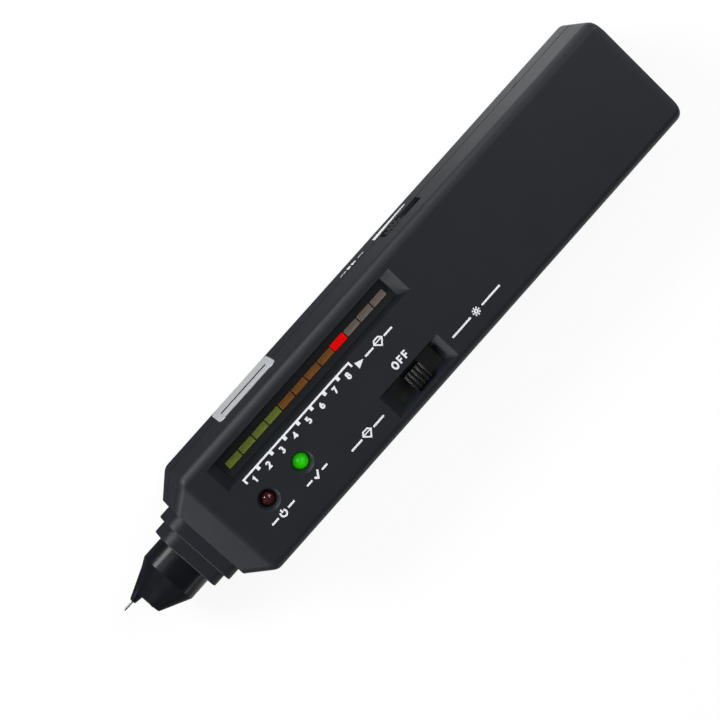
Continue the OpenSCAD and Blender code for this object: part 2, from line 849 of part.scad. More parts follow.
// Turned outline of the nozzle, with softened edges: [radius, distance from the flat end]
function soft_edge(r, x, a0, a1) =
  [
    for (i = [0 : 4])
      let (a = a0 + (a1 - a0) * i / 4)
      [r + nozzle_soft * cos(a), x + nozzle_soft * sin(a)]
  ];

module probe_nozzle() {
  slope = atan((nozzle_d - cone_end_d) / 2 / cone_len);
  end_r = cone_end_d / 2 - nozzle_soft;
  tip_r = stub_tip_d / 2;
  root_r = tip_r + (stub_d / 2 - tip_r) * (stub_len + cone_len) / stub_len;
  color(gloss_black)
    difference() {
      union() {
        translate([x_end, 0, axis_z])
          rotate([0, 90, 0])
            rotate_extrude($fn = 96)
              polygon(concat(
                [[0, 0]],
                soft_edge(end_r, nozzle_soft, -90, -slope),
                [[nozzle_d / 2, cone_len], [nozzle_d / 2, cone_len + nozzle_len]],
                [[spigot_d / 2, cone_len + nozzle_len], [spigot_d / 2, cone_len + nozzle_len + spigot_len]],
                [[0, cone_len + nozzle_len + spigot_len]]
              ));
        loft([
          round_ring(x_stub, probe_y, tip_r),
          round_ring(x_cone, nozzle_d / 2 - stub_root - root_r, root_r)
        ]);
      }
      x_rod(x_stub - over, x_guide + over, probe_y, axis_z, needle_d + 4 * running);
      x_rod(x_guide, x_small + spigot_len + over, probe_y, axis_z, guide_d + 2 * running);
      x_rod(x_end - over, x_uv + over, -uv_y, axis_z, uv_d + 2 * running);
      x_rod(x_uv, x_small + spigot_len + over, -uv_y, axis_z, uv_flange_d + 2 * seat);
    }
}

module probe_guide() {
  color("#c9a24a")
    difference() {
      x_rod(x_guide, x_guide_end, probe_y, axis_z, guide_d);
      x_rod(x_guide - over, x_guide_end + over, probe_y, axis_z, guide_bore);
    }
}

module guide_plug() {
  color("#d8d4c8")
    x_rod(x_plug, x_guide_end, probe_y, axis_z, guide_bore - 2 * running);
}

module probe_plunger() {
  color("#c9a24a")
    difference() {
      x_rod(x_plunger, x_spring, probe_y, axis_z, guide_bore - 2 * running);
      x_rod(x_plunger - over, x_plunger + needle_seat, probe_y, axis_z, needle_d + running);
    }
}

module probe_needle() {
  point = needle_d;
  color(steel) {
    translate([x_tip, probe_y, axis_z])
      rotate([0, 90, 0])
        cylinder(h = point, d1 = needle_d / 2, d2 = needle_d);
    x_rod(x_tip + point, x_plunger + needle_seat, probe_y, axis_z, needle_d);
  }
}

// Coil along X: one unbroken tube between the plunger and the plug
module probe_spring() {
  steps = 12;
  sides = 6;
  x0 = x_spring + spring_wire / 2 + seat / 2;
  x1 = x_plug - spring_wire / 2 - seat / 2;
  n = spring_turns * steps;
  lead = (x1 - x0) / spring_turns;
  tilt = atan(lead / (PI * spring_d));
  points = [
    for (i = [0 : n])
      for (j = [0 : sides - 1])
        let (a = 360 * i / steps, b = 360 * j / sides, out = spring_d / 2 + spring_wire / 2 * cos(b),
             along = spring_wire / 2 * sin(b))
        [
          x0 + lead * i / steps + along * cos(tilt),
          probe_y + out * cos(a) + along * sin(tilt) * sin(a),
          axis_z + out * sin(a) - along * sin(tilt) * cos(a)
        ]
  ];
  sides_of_tube = [
    for (i = [0 : n - 1])
      for (j = [0 : sides - 1])
        for (tri = [[0, 1, sides + 1], [0, sides + 1, sides]])
          [for (k = tri) (i + floor(k / sides)) * sides + (j + k % sides) % sides]
  ];
  ends = [[for (j = [0 : sides - 1]) sides - 1 - j], [for (j = [0 : sides - 1]) n * sides + j]];
  color(steel)
    polyhedron(points, concat(sides_of_tube, ends), convexity = 10);
}

module uv_lamp() {
  x_dome = x_uv - uv_len;
  color("#d9d6f2") {
    x_rod(x_dome, x_uv, -uv_y, axis_z, uv_d);
    translate([x_dome, -uv_y, axis_z])
      sphere(d = uv_d);
    x_rod(x_uv, x_uv + uv_flange_t, -uv_y, axis_z, uv_flange_d);
  }
}

module main_board() {
  color(board_green)
    difference() {
      box(x_board, x_board_end, -board_w / 2, board_w / 2, board_low, board_top);
      for (p = board_spots)
        rod(p[0], p[1], board_low - over, board_top + over, small_screw_d + 2 * seat);
    }
}

module display_bezel() {
  x = x_disp + display_len / 2;
  color("#0d0e0f")
    difference() {
      union() {
        block_at(x, display_y, disp_under - bezel_t, disp_under,
                 floor_len + 2 * bezel_rim, floor_w + 2 * bezel_rim);
        block_at(x, display_y, disp_under - bezel_t, disp_floor, floor_len - 2 * seat, floor_w - 2 * seat);
      }
      for (i = [0 : seg_n - 1])
        segment(i, seat);
    }
}

// One bar of the display, from the board to just above the bezel
module segment(i, grow) {
  box(x_seg + i * seg_pitch - grow, x_seg + i * seg_pitch + seg_len + grow,
      display_y - seg_w / 2 - grow, display_y + seg_w / 2 + grow,
      board_top - (grow > 0 ? over : 0), disp_floor + seg_out + grow);
}

module segments_green() {
  color("#6b6c28")
    for (i = [0 : seg_group - 1])
      segment(i, 0);
}

module segments_amber() {
  color("#7a4d1c")
    for (i = [seg_group : 2 * seg_group - 1])
      segment(i, 0);
}

module segment_lit() {
  color("#e60000")
    segment(2 * seg_group, 0);
}

module segments_red() {
  color("#7a6f66")
    for (i = [2 * seg_group + 1 : seg_n - 1])
      segment(i, 0);
}

module lamp(s) {
  dome_z = body_t - lamp_below - lamp_d / 2;
  rod(x_face + s, -lamp_y, board_top, dome_z, lamp_d);
  rod(x_face + s, -lamp_y, board_top, board_top + lamp_flange_t, lamp_flange_d);
  translate([x_face + s, -lamp_y, dome_z])
    sphere(d = lamp_d);
}

module power_lamp() {
  color("#4a1a1c")
    lamp(power_s);
}

module ready_lamp() {
  color("#21d10a")
    lamp(ready_s);
}

module switch_body() {
  color(steel)
    difference() {
      block_at(x_switch, -switch_y, board_top, switch_top, track_len + 2 * wall, peg_w + 2 * wall);
      block_at(x_switch, -switch_y, switch_top - peg_deep - pass, switch_top + over,
               track_len, peg_w + 2 * seat);
    }
}

module switch_knob() {
  knob_top = body_t - knob_below;
  rib = knob_len / (2 * knob_ribs - 1);
  color("#1c1d20") {
    block_at(x_switch, -switch_y, shutter_low, shutter_top, shutter_len, shutter_w);
    block_at(x_switch, -switch_y, shutter_low, knob_top - knob_groove, knob_len, knob_w);
    for (i = [0 : knob_ribs - 1])
      translate([x_switch - knob_len / 2 + (2 * i + 0.5) * rib, -switch_y, knob_top - rib / 2])
        rotate([90, 0, 0])
          linear_extrude(knob_w, center = true)
            union() {
              circle(d = rib, $fn = 24);
              translate([-rib / 2, -knob_groove]) square([rib, knob_groove]);
            }
    block_at(x_switch, -switch_y, switch_top - peg_deep, shutter_low, peg_len, peg_w);
  }
}

module thumbwheel() {
  r = wheel_d / 2;
  color("#1a1b1d")
    translate([x_wheel, wheel_y, wheel_low]) {
      linear_extrude(wheel_t)
        polygon([
          for (i = [0 : wheel_teeth - 1])
            for (k = tooth)
              let (a = 360 * (i + k[0]) / wheel_teeth)
              (r - k[1] * tooth_depth) * [cos(a), sin(a)]
        ]);
      cylinder(h = axle_top - wheel_low, d = axle_d);
    }
}

module potentiometer() {
  color("#3a3d42")
    difference() {
      rod(x_wheel, wheel_y, pot_low, board_low, min(pot_d, 2 * (in_y - wheel_y - pass)));
      rod(x_wheel, wheel_y, pot_low - over, board_low + over, axle_d + 2 * running);
    }
}

// Pressed plate with a band folded inwards above the parting line, full-height ends and its tab
module touch_plate() {
  edge = half_w + plate_out;
  crown = edge + plate_crown;
  band = crown - fold_deep;
  low = split_z + fold_up;
  high = low + fold_h;
  top = plate_z + plate_h;
  difference() {
    intersection() {
      translate([0, plate_back, 0])
        plate_outline(crown - plate_back, 0);
      translate([x_plate, 0, 0])
        rotate([90, 0, 90])
          linear_extrude(plate_len)
            polygon([
              [plate_back, plate_z], [edge, plate_z], [crown, split_z],
              [crown, low], [edge, top], [plate_back, top]
            ]);
    }
    translate([x_plate + fold_end, 0, 0])
      rotate([90, 0, 90])
        linear_extrude(plate_len - 2 * fold_end)
          polygon([
            [band, low], [crown + over, low], [crown + over, top + over],
            [plate_back - over, top + over], [plate_back - over, high], [band - fold_lean, high]
          ]);
  }
  box(x_plate + (plate_len - tab_len) / 2, x_plate + (plate_len + tab_len) / 2,
      in_y - tab_in, plate_back + plate_seat / 2, split_z - tab_t / 2, split_z + tab_t / 2);
}

module touch_plate_left() {
  color("#e4e6ea")
    touch_plate();
}

module touch_plate_right() {
  color("#e4e6ea")
    mirror([0, 1, 0])
      touch_plate();
}

module battery() {
  y = battery_w / 2;
  color("#8b8f94")
    difference() {
      union() {
        loft([for (x = [x_batt, x_batt_end]) ring(x, -y, y, batt_z, batt_z + battery_t, battery_r)]);
        x_rod(x_batt - stud_h, x_batt, stud_pitch / 2, batt_mid, stud_d);
        x_rod(x_batt - stud_h, x_batt, -stud_pitch / 2, batt_mid, crown_d);
      }
      x_rod(x_batt - stud_h - over, x_batt, -stud_pitch / 2, batt_mid, stud_d + 2 * seat);
    }
}

module battery_snap() {
  x_plate_end = x_snap + snap_t;
  color("#17181a")
    difference() {
      union() {
        box(x_snap, x_plate_end, -snap_len / 2, snap_len / 2, batt_mid - snap_w / 2, batt_mid + snap_w / 2);
        x_rod(x_plate_end, x_batt - seat, -stud_pitch / 2, batt_mid, stud_d);
        x_rod(x_plate_end, x_batt - seat, stud_pitch / 2, batt_mid, crown_d);
      }
      x_rod(x_plate_end, x_batt + over, stud_pitch / 2, batt_mid, stud_d + 2 * seat);
    }
}

function bend(p, t) =
  pow(1 - t, 3) * p[0] + 3 * t * pow(1 - t, 2) * p[1] + 3 * t * t * (1 - t) * p[2] + pow(t, 3) * p[3];

function bend_way(p, t) =
  pow(1 - t, 2) * (p[1] - p[0]) + 2 * t * (1 - t) * (p[2] - p[1]) + t * t * (p[3] - p[2]);

function unit(v) = v / norm(v);

// Wire along a curve with four control points; side is a direction the curve never takes
module wire(p, d, side) {
  steps = 9;
  sides = 8;
  points = [
    for (i = [0 : steps])
      let (t = i / steps, w = unit(bend_way(p, t)), u = unit(cross(side, w)), v = cross(w, u))
      for (j = [0 : sides - 1])
        bend(p, t) + d / 2 * (u * cos(360 * j / sides) + v * sin(360 * j / sides))
  ];
  faces = [
    for (i = [0 : steps - 1])
      for (j = [0 : sides - 1])
        for (tri = [[0, sides, sides + 1], [0, sides + 1, 1]])
          [for (k = tri) (i + floor(k / sides)) * sides + (j + k % sides) % sides]
  ];
  ends = [[for (j = [0 : sides - 1]) j], [for (j = [0 : sides - 1]) steps * sides + sides - 1 - j]];
  polyhedron(points, concat(faces, ends), convexity = 6);
}

// Lead that leaves a face along X and comes up under the board
module board_lead(start, x, y, d) {
  reach = (x - start[0]) / 2;
  low = min(start[2], board_low - lead_rise);
  wire([start, start + [reach, 0, 0], [x, y, low], [x, y, board_low]], d, [0, 1, 0]);
}

module battery_lead(y) {
  board_lead([x_snap, y, batt_mid], x_board_end - lead_in, y, lead_d);
}

module battery_lead_red() {
  color("#b01818")
    battery_lead(-2 * lead_d);
}

module battery_lead_black() {
  color("#151515")
    battery_lead(-4 * lead_d);
}

// Two thin leads that leave one face and end side by side on the board
module lead_pair(x0, y) {
  for (k = [-1, 1])
    board_lead([x0, y, axis_z + k * thin_lead_d * lead_part], x_board + thin_lead_in - k, y, thin_lead_d);
}

module probe_leads() {
  color("#c8c8c4")
    lead_pair(x_guide_end, probe_y);
}

module uv_leads() {
  color("#5b3fa0")
    lead_pair(x_uv + uv_flange_t, -uv_y);
}

module plate_leads() {
  x = x_plate + plate_len / 2;
  y = in_y - tab_in;
  y_up = y - plate_lead_run;
  color("#c8c8c4")
    for (side = [0, 1])
      mirror([0, side, 0])
        wire([[x, y, split_z], [x, y_up, split_z], [x, y_up, board_low - lead_rise], [x, y_up, board_low]],
             thin_lead_d, [1, 0, 0]);
}

module buzzer() {
  x = x_board + buzzer_s;
  color("#1b1c1e")
    difference() {
      rod(x, -buzzer_y, board_low - buzzer_h, board_low, buzzer_d);
      rod(x, -buzzer_y, board_low - buzzer_h - over, board_low - buzzer_h / 2, buzzer_d / 6);
    }
}

// Chip under the board with two rows of legs
module chip(x, y, pairs) {
  len_ = pairs * chip_pitch;
  low = board_low - chip_leg - chip_h;
  block_at(x, y, low, board_low - chip_leg, len_, chip_w);
  for (i = [0 : pairs - 1], side = [-1, 1]) {
    leg_x = x + (i - (pairs - 1) / 2) * chip_pitch;
    block_at(leg_x, y + side * chip_w / 2, low + chip_h / 2, board_low, leg_w, 2 * leg_out);
  }
}

module driver_chips() {
  color("#202124") {
    chip(x_board + driver_s, chip_y, driver_pairs);
    chip(x_board + amp_s, chip_y, amp_pairs);
  }
}

module capacitors() {
  color("#27304f")
    for (k = [0, 1])
      rod(x_board + cap_s, k * cap_pitch - cap_y, board_low - cap_h, board_low, cap_d);
}

module case_screws() {
  color(steel)
    for (p = case_spots) {
      rod(p[0], p[1], screw_sunk, screw_sunk + screw_head_h, screw_head_d);
      rod(p[0], p[1], screw_sunk, split_z + screw_reach, screw_d);
    }
}

module board_screws() {
  color(steel)
    for (p = board_spots) {
      rod(p[0], p[1], board_low - small_head_h, board_low, small_head_d);
      rod(p[0], p[1], board_low - small_head_h, board_top + small_reach, small_screw_d);
    }
}

front_shell();
rear_shell();
battery_door();
nose_collar();
probe_nozzle();
probe_guide();
guide_plug();
probe_plunger();
probe_needle();
probe_spring();
uv_lamp();
main_board();
display_bezel();
segments_green();
segments_amber();
segments_red();
segment_lit();
power_lamp();
ready_lamp();
switch_body();
switch_knob();
thumbwheel();
potentiometer();
touch_plate_left();
touch_plate_right();
battery();
battery_snap();
battery_lead_red();
battery_lead_black();
probe_leads();
uv_leads();
plate_leads();
buzzer();
driver_chips();
capacitors();
case_screws();
board_screws();
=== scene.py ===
# %% [markdown]
# # A hand-held diamond tester
# The tester lies on its back: a charcoal plastic case, a glossy black nozzle with a thin needle,
# a row of coloured segments, two lamps, a slide switch and a thumbwheel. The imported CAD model
# gives the shapes and the joints, and is a fixed frame here. This lesson dresses it with soft
# edges, plastics, metals, lamps and printed marks, which Blender does better than CAD. The size
# of the bare frame is kept, so that the dressed size can be compared with it at the end.

# %% Load the frame
import math

import bmesh
import bpy
from mathutils import Matrix, Vector


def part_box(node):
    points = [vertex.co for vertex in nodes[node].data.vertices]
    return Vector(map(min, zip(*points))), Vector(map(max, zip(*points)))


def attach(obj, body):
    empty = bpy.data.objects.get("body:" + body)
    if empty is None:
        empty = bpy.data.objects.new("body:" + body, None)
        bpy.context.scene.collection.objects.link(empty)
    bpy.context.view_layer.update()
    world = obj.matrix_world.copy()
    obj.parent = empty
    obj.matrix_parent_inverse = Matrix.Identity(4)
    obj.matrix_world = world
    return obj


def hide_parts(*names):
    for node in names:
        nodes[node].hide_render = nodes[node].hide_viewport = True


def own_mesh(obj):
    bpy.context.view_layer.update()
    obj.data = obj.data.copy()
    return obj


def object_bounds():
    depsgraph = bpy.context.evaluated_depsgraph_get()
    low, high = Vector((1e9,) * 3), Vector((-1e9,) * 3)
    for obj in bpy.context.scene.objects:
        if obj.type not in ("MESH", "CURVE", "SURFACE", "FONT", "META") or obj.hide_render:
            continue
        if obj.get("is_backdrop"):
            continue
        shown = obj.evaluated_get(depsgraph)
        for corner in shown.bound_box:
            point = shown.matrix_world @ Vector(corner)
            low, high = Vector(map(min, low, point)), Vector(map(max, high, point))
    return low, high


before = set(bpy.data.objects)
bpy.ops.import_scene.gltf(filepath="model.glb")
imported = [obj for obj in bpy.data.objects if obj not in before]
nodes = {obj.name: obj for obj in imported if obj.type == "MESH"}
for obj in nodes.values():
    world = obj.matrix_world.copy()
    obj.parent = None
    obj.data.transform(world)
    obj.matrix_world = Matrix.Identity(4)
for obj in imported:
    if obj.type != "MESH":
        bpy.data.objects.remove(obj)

cad_low, cad_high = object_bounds()
scene = bpy.context.scene
MM = 0.001
cad_size = [round((b - a) / MM, 1) for a, b in zip(cad_low, cad_high)]
print("frame:", len(nodes), "nodes,", cad_size, "mm")

# %% [markdown]
# ## Camera
# The tester is seen from above its front face, a little from the thumbwheel side, with the nose
# at the lower left. A camera could be placed by eye, but then no edge would lie quite right.
# This one's place and lens were worked out from the corners of the outline: the far end is
# barely smaller than the near one, so the lens is long. The turn is an axis times an angle, in
# radians, and takes the object's directions to the camera's.

# %% Camera
CAMERA_PLACE = Vector((-51.4, 133.4, 568.8)) * MM
CAMERA_TURN = Vector((0.1879, 0.1709, 0.8293))
to_camera = Matrix.Rotation(CAMERA_TURN.length, 3, CAMERA_TURN.normalized())
from_camera = to_camera.transposed()
camera_data = bpy.data.cameras.new("camera")
camera_data.sensor_width = 36.0
camera_data.lens = 119.06
camera_data.clip_start = 0.01
camera_data.clip_end = 50.0
camera = bpy.data.objects.new("camera", camera_data)
scene.collection.objects.link(camera)
camera.matrix_world = Matrix.Translation(CAMERA_PLACE) @ from_camera.to_4x4()
scene.camera = camera
scene.view_settings.view_transform = "Standard"
print("camera looks along", [round(c, 3) for c in from_camera @ Vector((0, 0, -1))])

# %% [markdown]
# ## Colours and nodes
# Shaders want colours as linear light, and they could be written that way, but such numbers are
# hard to picture. So colours are sRGB hex values, as a paint chart gives them, and one function
# turns them to linear light. A second small function adds a shader node, sets it up and links
# it, which keeps each material down to a few readable lines.

# %% Helpers for materials


def linear(code):
    """Linear RGBA of a hex colour."""
    parts = [int(code[i:i + 2], 16) / 255 for i in (1, 3, 5)]
    return [c / 12.92 if c <= 0.04045 else ((c + 0.055) / 1.055) ** 2.4 for c in parts] + [1.0]


def add(tree, kind, inputs=None, **settings):
    """Adds a node; each input is a value or another node's output."""
    node = tree.nodes.new(kind)
    for key, value in settings.items():
        setattr(node, key, value)
    for key, value in (inputs or {}).items():
        if isinstance(value, bpy.types.NodeSocket):
            tree.links.new(value, node.inputs[key])
        else:
            node.inputs[key].default_value = value
    return node


def new_material(name):
    """An empty material and its node tree."""
    material = bpy.data.materials.new(name)
    material.use_nodes = True
    material.node_tree.nodes.clear()
    return material, material.node_tree


print("middle grey in linear light:", round(linear("#808080")[0], 3))

# %% [markdown]
# ## Floor
# The tester lies on white. The floor could be lit until it is white, but then the object would
# be too bright. So it is a matt grey sheet, with a constant white part for the rays that show
# it: the lamps stay at a plain level, and the lit part still darkens in the shadow. The sheet is
# clear from below and has a window under the case, so that light reaches the back.

# %% Floor sheet
FLOOR_HALF = 6.0
FLOOR_Z = -0.4 * MM
WINDOW = (-56.5 * MM, 88.5 * MM, -15.6 * MM, 15.6 * MM)


def rectangle(x0, x1, y0, y1):
    """Corners of a rectangle, counter-clockwise."""
    return [(x0, y0), (x1, y0), (x1, y1), (x0, y1)]


corners = rectangle(-FLOOR_HALF, FLOOR_HALF, -FLOOR_HALF, FLOOR_HALF) + rectangle(*WINDOW)
strips = [(0, 1, 5, 4), (1, 2, 6, 5), (2, 3, 7, 6), (3, 0, 4, 7)]
floor_mesh = bpy.data.meshes.new("floor")
floor_mesh.from_pydata([(x, y, FLOOR_Z) for x, y in corners], [], strips)
floor = bpy.data.objects.new("floor", floor_mesh)
scene.collection.objects.link(floor)
floor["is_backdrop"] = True
print("floor:", 2 * FLOOR_HALF, "m wide, window", round((WINDOW[1] - WINDOW[0]) / MM), "mm long")

# %% [markdown]
# Rays that bounce off the glossy skin, or pass through the clear lamps, look at the floor beside
# the case. In a studio a dark card is laid there to shade a side. A real card would show from
# other angles, so the floor's material plays the card for these rays alone: on the thumbwheel
# side it is dark by the nose and pales towards the tail, so that the long side of the case runs
# from dark to light. The far side is pale, from a little before the nose on.

# %% Paper as a mirror sees it
CARD_X = (-75 * MM, 75 * MM)  # dark at the first, pale at the second
CARD_POWER = 3.4  # how late it turns pale
FAR_SIDE_X = (-85 * MM, -66 * MM)  # where it begins and where it is reached
FAR_SIDE_Y = (0.0, -14 * MM)
FAR_SIDE_LEVEL = 0.7
paper, tree = new_material("matt white paper")
rays = add(tree, "ShaderNodeLightPath").outputs
place = add(tree, "ShaderNodeTexCoord").outputs["Object"]
spot = add(tree, "ShaderNodeSeparateXYZ", {0: place}).outputs
along = add(tree, "ShaderNodeMapRange", {
    "Value": spot["X"], "From Min": CARD_X[0], "From Max": CARD_X[1],
}).outputs[0]
card = add(tree, "ShaderNodeMath", {0: along, 1: CARD_POWER}, operation="POWER").outputs[0]
past_nose = add(tree, "ShaderNodeMapRange", {
    "Value": spot["X"], "From Min": FAR_SIDE_X[0], "From Max": FAR_SIDE_X[1],
    "To Max": FAR_SIDE_LEVEL,
}).outputs[0]
across = add(tree, "ShaderNodeMapRange", {
    "Value": spot["Y"], "From Min": FAR_SIDE_Y[0], "From Max": FAR_SIDE_Y[1],
}).outputs[0]
far_side = add(tree, "ShaderNodeMath", {0: past_nose, 1: across}, operation="MULTIPLY").outputs[0]
fade = add(tree, "ShaderNodeMath", {0: card, 1: far_side}, operation="MAXIMUM").outputs[0]
glint = add(tree, "ShaderNodeMath", {
    0: rays["Is Glossy Ray"], 1: rays["Is Transmission Ray"],
}, operation="MAXIMUM").outputs[0]
mirrored = add(tree, "ShaderNodeMath", {0: glint, 1: fade}, operation="MULTIPLY").outputs[0]
print("card: dark at", CARD_X[0] / MM, "mm, pale at", CARD_X[1] / MM, "mm")

# %% [markdown]
# The camera could see one level of white all over, but the lamps light the sheet near the object
# more than the sheet far off, and grey bands would show. So the level is a little lower round
# the object, where the lit grey makes up the rest, and plain white far off. Distances are in
# metres.

# %% Paper as the camera sees it
NEAR, FAR = 0.3, 1.2
NEAR_LEVEL, FAR_LEVEL = 0.9, 1.0
reach = add(tree, "ShaderNodeVectorMath", {0: place}, operation="LENGTH").outputs["Value"]
seen = add(tree, "ShaderNodeMapRange", {
    "Value": reach, "From Min": NEAR, "From Max": FAR, "To Min": NEAR_LEVEL, "To Max": FAR_LEVEL,
}).outputs[0]
level = add(tree, "ShaderNodeMath", {
    0: rays["Is Camera Ray"], 1: seen, 2: mirrored,
}, operation="MULTIPLY_ADD").outputs[0]
glow = add(tree, "ShaderNodeEmission", {"Color": linear("#ffffff"), "Strength": level}).outputs[0]
sheet = add(tree, "ShaderNodeBsdfDiffuse", {"Color": linear("#5f5f5f")}).outputs[0]
both = add(tree, "ShaderNodeAddShader", {0: glow, 1: sheet}).outputs[0]
underside = add(tree, "ShaderNodeNewGeometry").outputs["Backfacing"]
clear = add(tree, "ShaderNodeBsdfTransparent").outputs[0]
skin = add(tree, "ShaderNodeMixShader", {0: underside, 1: both, 2: clear}).outputs[0]
add(tree, "ShaderNodeOutputMaterial", {"Surface": skin})
floor.data.materials.append(paper)
print("paper:", NEAR_LEVEL, "near the object,", FAR_LEVEL, "from", FAR, "m on")

# %% [markdown]
# ## Light
# Soft studio light comes from area lamps about a metre away. One large lamp could light it all,
# but dark plastic shows little else than what it mirrors, so each edge gets a lamp of its own.
# On the thumbwheel side a low strip draws the bright line on the nozzle, and a higher one that
# on the long edge. A flat panel before the nose lifts its bevel, a weak strip behind draws the
# far edge, and a wide panel overhead fills the rest. Places and sizes are in metres, powers in
# watts.

# %% Lamps


def panel(name, place, target, wide, high, power):
    """A soft panel that faces a point."""
    light = bpy.data.lights.new(name, "AREA")
    light.shape = "RECTANGLE"
    light.size, light.size_y = wide, high
    light.energy = power
    lamp = bpy.data.objects.new(name, light)
    lamp.location = place
    lamp.rotation_euler = (Vector(target) - Vector(place)).to_track_quat("-Z", "Y").to_euler()
    scene.collection.objects.link(lamp)


panel("low strip", (-0.06, 0.94, 0.18), (-0.06, 0, 0.02), wide=0.4, high=0.26, power=3.0)
panel("high strip", (-0.41, 0.69, 0.5), (-0.03, 0, 0.02), wide=0.3, high=0.2, power=6.6)
panel("nose panel", (-0.97, -0.05, 0.19), (-0.06, 0, 0.02), wide=0.4, high=0.14, power=4.4)
panel("far strip", (-0.05, -0.95, 0.17), (-0.02, 0, 0.02), wide=1.0, high=0.12, power=0.7)
panel("overhead", (0.85, 0.20, 0.95), (0, 0, 0), wide=0.8, high=0.8, power=7.8)

# %% [markdown]
# The room around could be one even grey, but then gloss would look flat. It is darker overhead
# and paler towards the horizon, and white below the floor, which lights the back through the
# window. The camera sees it as plain white. The ramp runs from straight down, at 0, to straight
# up, at 1.

# %% Room
UNDER, HORIZON, OVER = 0.46, 0.5, 0.8
ROOM_LEVEL = 0.5
room = bpy.data.worlds.new("studio room")
scene.world = room
room.use_nodes = True
tree = room.node_tree
tree.nodes.clear()
way = add(tree, "ShaderNodeTexCoord").outputs["Generated"]
rise = add(tree, "ShaderNodeSeparateXYZ", {0: way}).outputs["Z"]
height = add(tree, "ShaderNodeMapRange", {"Value": rise, "From Min": -1.0}).outputs[0]
ramp = add(tree, "ShaderNodeValToRGB", {0: height})
under, over = ramp.color_ramp.elements
under.position, under.color = UNDER, linear("#ffffff")
over.position, over.color = OVER, linear("#8a8a8a")
ramp.color_ramp.elements.new(HORIZON).color = linear("#b4b4b4")
grey = add(tree, "ShaderNodeBackground", {
    "Color": ramp.outputs[0], "Strength": ROOM_LEVEL,
}).outputs[0]
plain = add(tree, "ShaderNodeBackground", {"Color": linear("#ffffff"), "Strength": 1.0}).outputs[0]
to_eye = add(tree, "ShaderNodeLightPath").outputs["Is Camera Ray"]
walls = add(tree, "ShaderNodeMixShader", {0: to_eye, 1: grey, 2: plain}).outputs[0]
add(tree, "ShaderNodeOutputWorld", {"Surface": walls})
print("room:", room.name, "at a level of", ROOM_LEVEL)

# %% [markdown]
# ## Soft edges
# No moulded edge is knife sharp, and the thin light line along an edge tells the eye that it is
# a real thing. These edges could be rounded in the CAD model, at the cost of many small faces
# there, so modifiers do it here, and leave the node's own mesh as it is. The CAD meshes arrive
# as loose triangles, so each visible node gets four modifiers: weld the corners, join flat
# triangles, round the sharp edges by a fraction of a millimetre, and weight the normals by face
# area so that flat faces stay flat.

# %% Rounded edges on the CAD nodes
WELD = 0.002 * MM
FLAT = math.radians(0.6)
SHARP = math.radians(28)


def soften(name, width):
    """Rounds a CAD node's sharp edges; width in mm."""
    node = nodes[name]
    weld = node.modifiers.new("weld", "WELD")
    weld.merge_threshold = WELD
    flat = node.modifiers.new("flat", "DECIMATE")
    flat.decimate_type = "DISSOLVE"
    flat.angle_limit = FLAT
    bevel = node.modifiers.new("edges", "BEVEL")
    bevel.width = width * MM
    bevel.segments = 2
    bevel.limit_method = "ANGLE"
    bevel.angle_limit = SHARP
    bevel.face_strength_mode = "FSTR_ALL"
    normals = node.modifiers.new("normals", "WEIGHTED_NORMAL")
    normals.use_face_influence = True


edges = {
    "front_shell": 0.15, "rear_shell": 0.15, "battery_door": 0.15, "nose_collar": 0.12,
    "segments_green": 0.1, "segments_amber": 0.1, "segments_red": 0.1, "segment_lit": 0.1,
    "switch_knob": 0.1, "switch_body": 0.1, "thumbwheel": 0.08,
    "touch_plate_left": 0.05, "touch_plate_right": 0.05,
    "battery": 0.2, "battery_snap": 0.2,
    "driver_chips": 0.06, "main_board": 0.08, "buzzer": 0.3, "capacitors": 0.4,
}
for name, width in edges.items():
    soften(name, width)
print("softened:", len(edges), "nodes")

# %% [markdown]
# ## Case plastic
# The case is ABS, moulded in a tool whose steel was spark eroded: a fine matt skin that breaks
# the light up. Its grain is about 0.2 mm, too fine to show here, so it is drawn at 0.35 mm. It
# could be real relief, but no outline shows it, so a bump is enough. A slow change of tone over
# 18 mm keeps large faces from looking painted, and patches of some 7 mm are rubbed a little
# smoother by use. The refractive index of most plastics is near 1.5.

# %% Charcoal ABS
GRAIN = 0.35 * MM
TOUCH = 7 * MM
TONE = 18 * MM
PLASTIC_IOR = 1.5


def dress(material, *names):
    """Gives CAD nodes a material."""
    for name in names:
        nodes[name].data.materials.clear()
        nodes[name].data.materials.append(material)


charcoal, tree = new_material("charcoal ABS, spark-eroded")
place = add(tree, "ShaderNodeTexCoord").outputs["Object"]
grain = add(tree, "ShaderNodeTexNoise", {
    "Vector": place, "Scale": 1 / GRAIN, "Detail": 2.0,
}).outputs["Fac"]
touch = add(tree, "ShaderNodeTexNoise", {
    "Vector": place, "Scale": 1 / TOUCH, "Detail": 4.0,
}).outputs["Fac"]
tone = add(tree, "ShaderNodeTexNoise", {
    "Vector": place, "Scale": 1 / TONE, "Detail": 3.0,
}).outputs["Fac"]
colour = add(tree, "ShaderNodeMix", {
    "Factor": tone, "A": linear("#11151b"), "B": linear("#171b22"),
}, data_type="RGBA").outputs["Result"]
rough = add(tree, "ShaderNodeMapRange", {
    "Value": touch, "From Min": 0.3, "From Max": 0.7, "To Min": 0.49, "To Max": 0.54,
}).outputs[0]
bumps = add(tree, "ShaderNodeBump", {
    "Height": grain, "Strength": 0.12, "Distance": 0.02 * MM,
}).outputs[0]
skin = add(tree, "ShaderNodeBsdfPrincipled", {
    "Base Color": colour, "Roughness": rough, "Normal": bumps,
    "IOR": PLASTIC_IOR, "Specular IOR Level": 0.4,
}).outputs[0]
add(tree, "ShaderNodeOutputMaterial", {"Surface": skin})
dress(charcoal, "front_shell", "rear_shell", "battery_door", "nose_collar")
print("case:", charcoal.name)

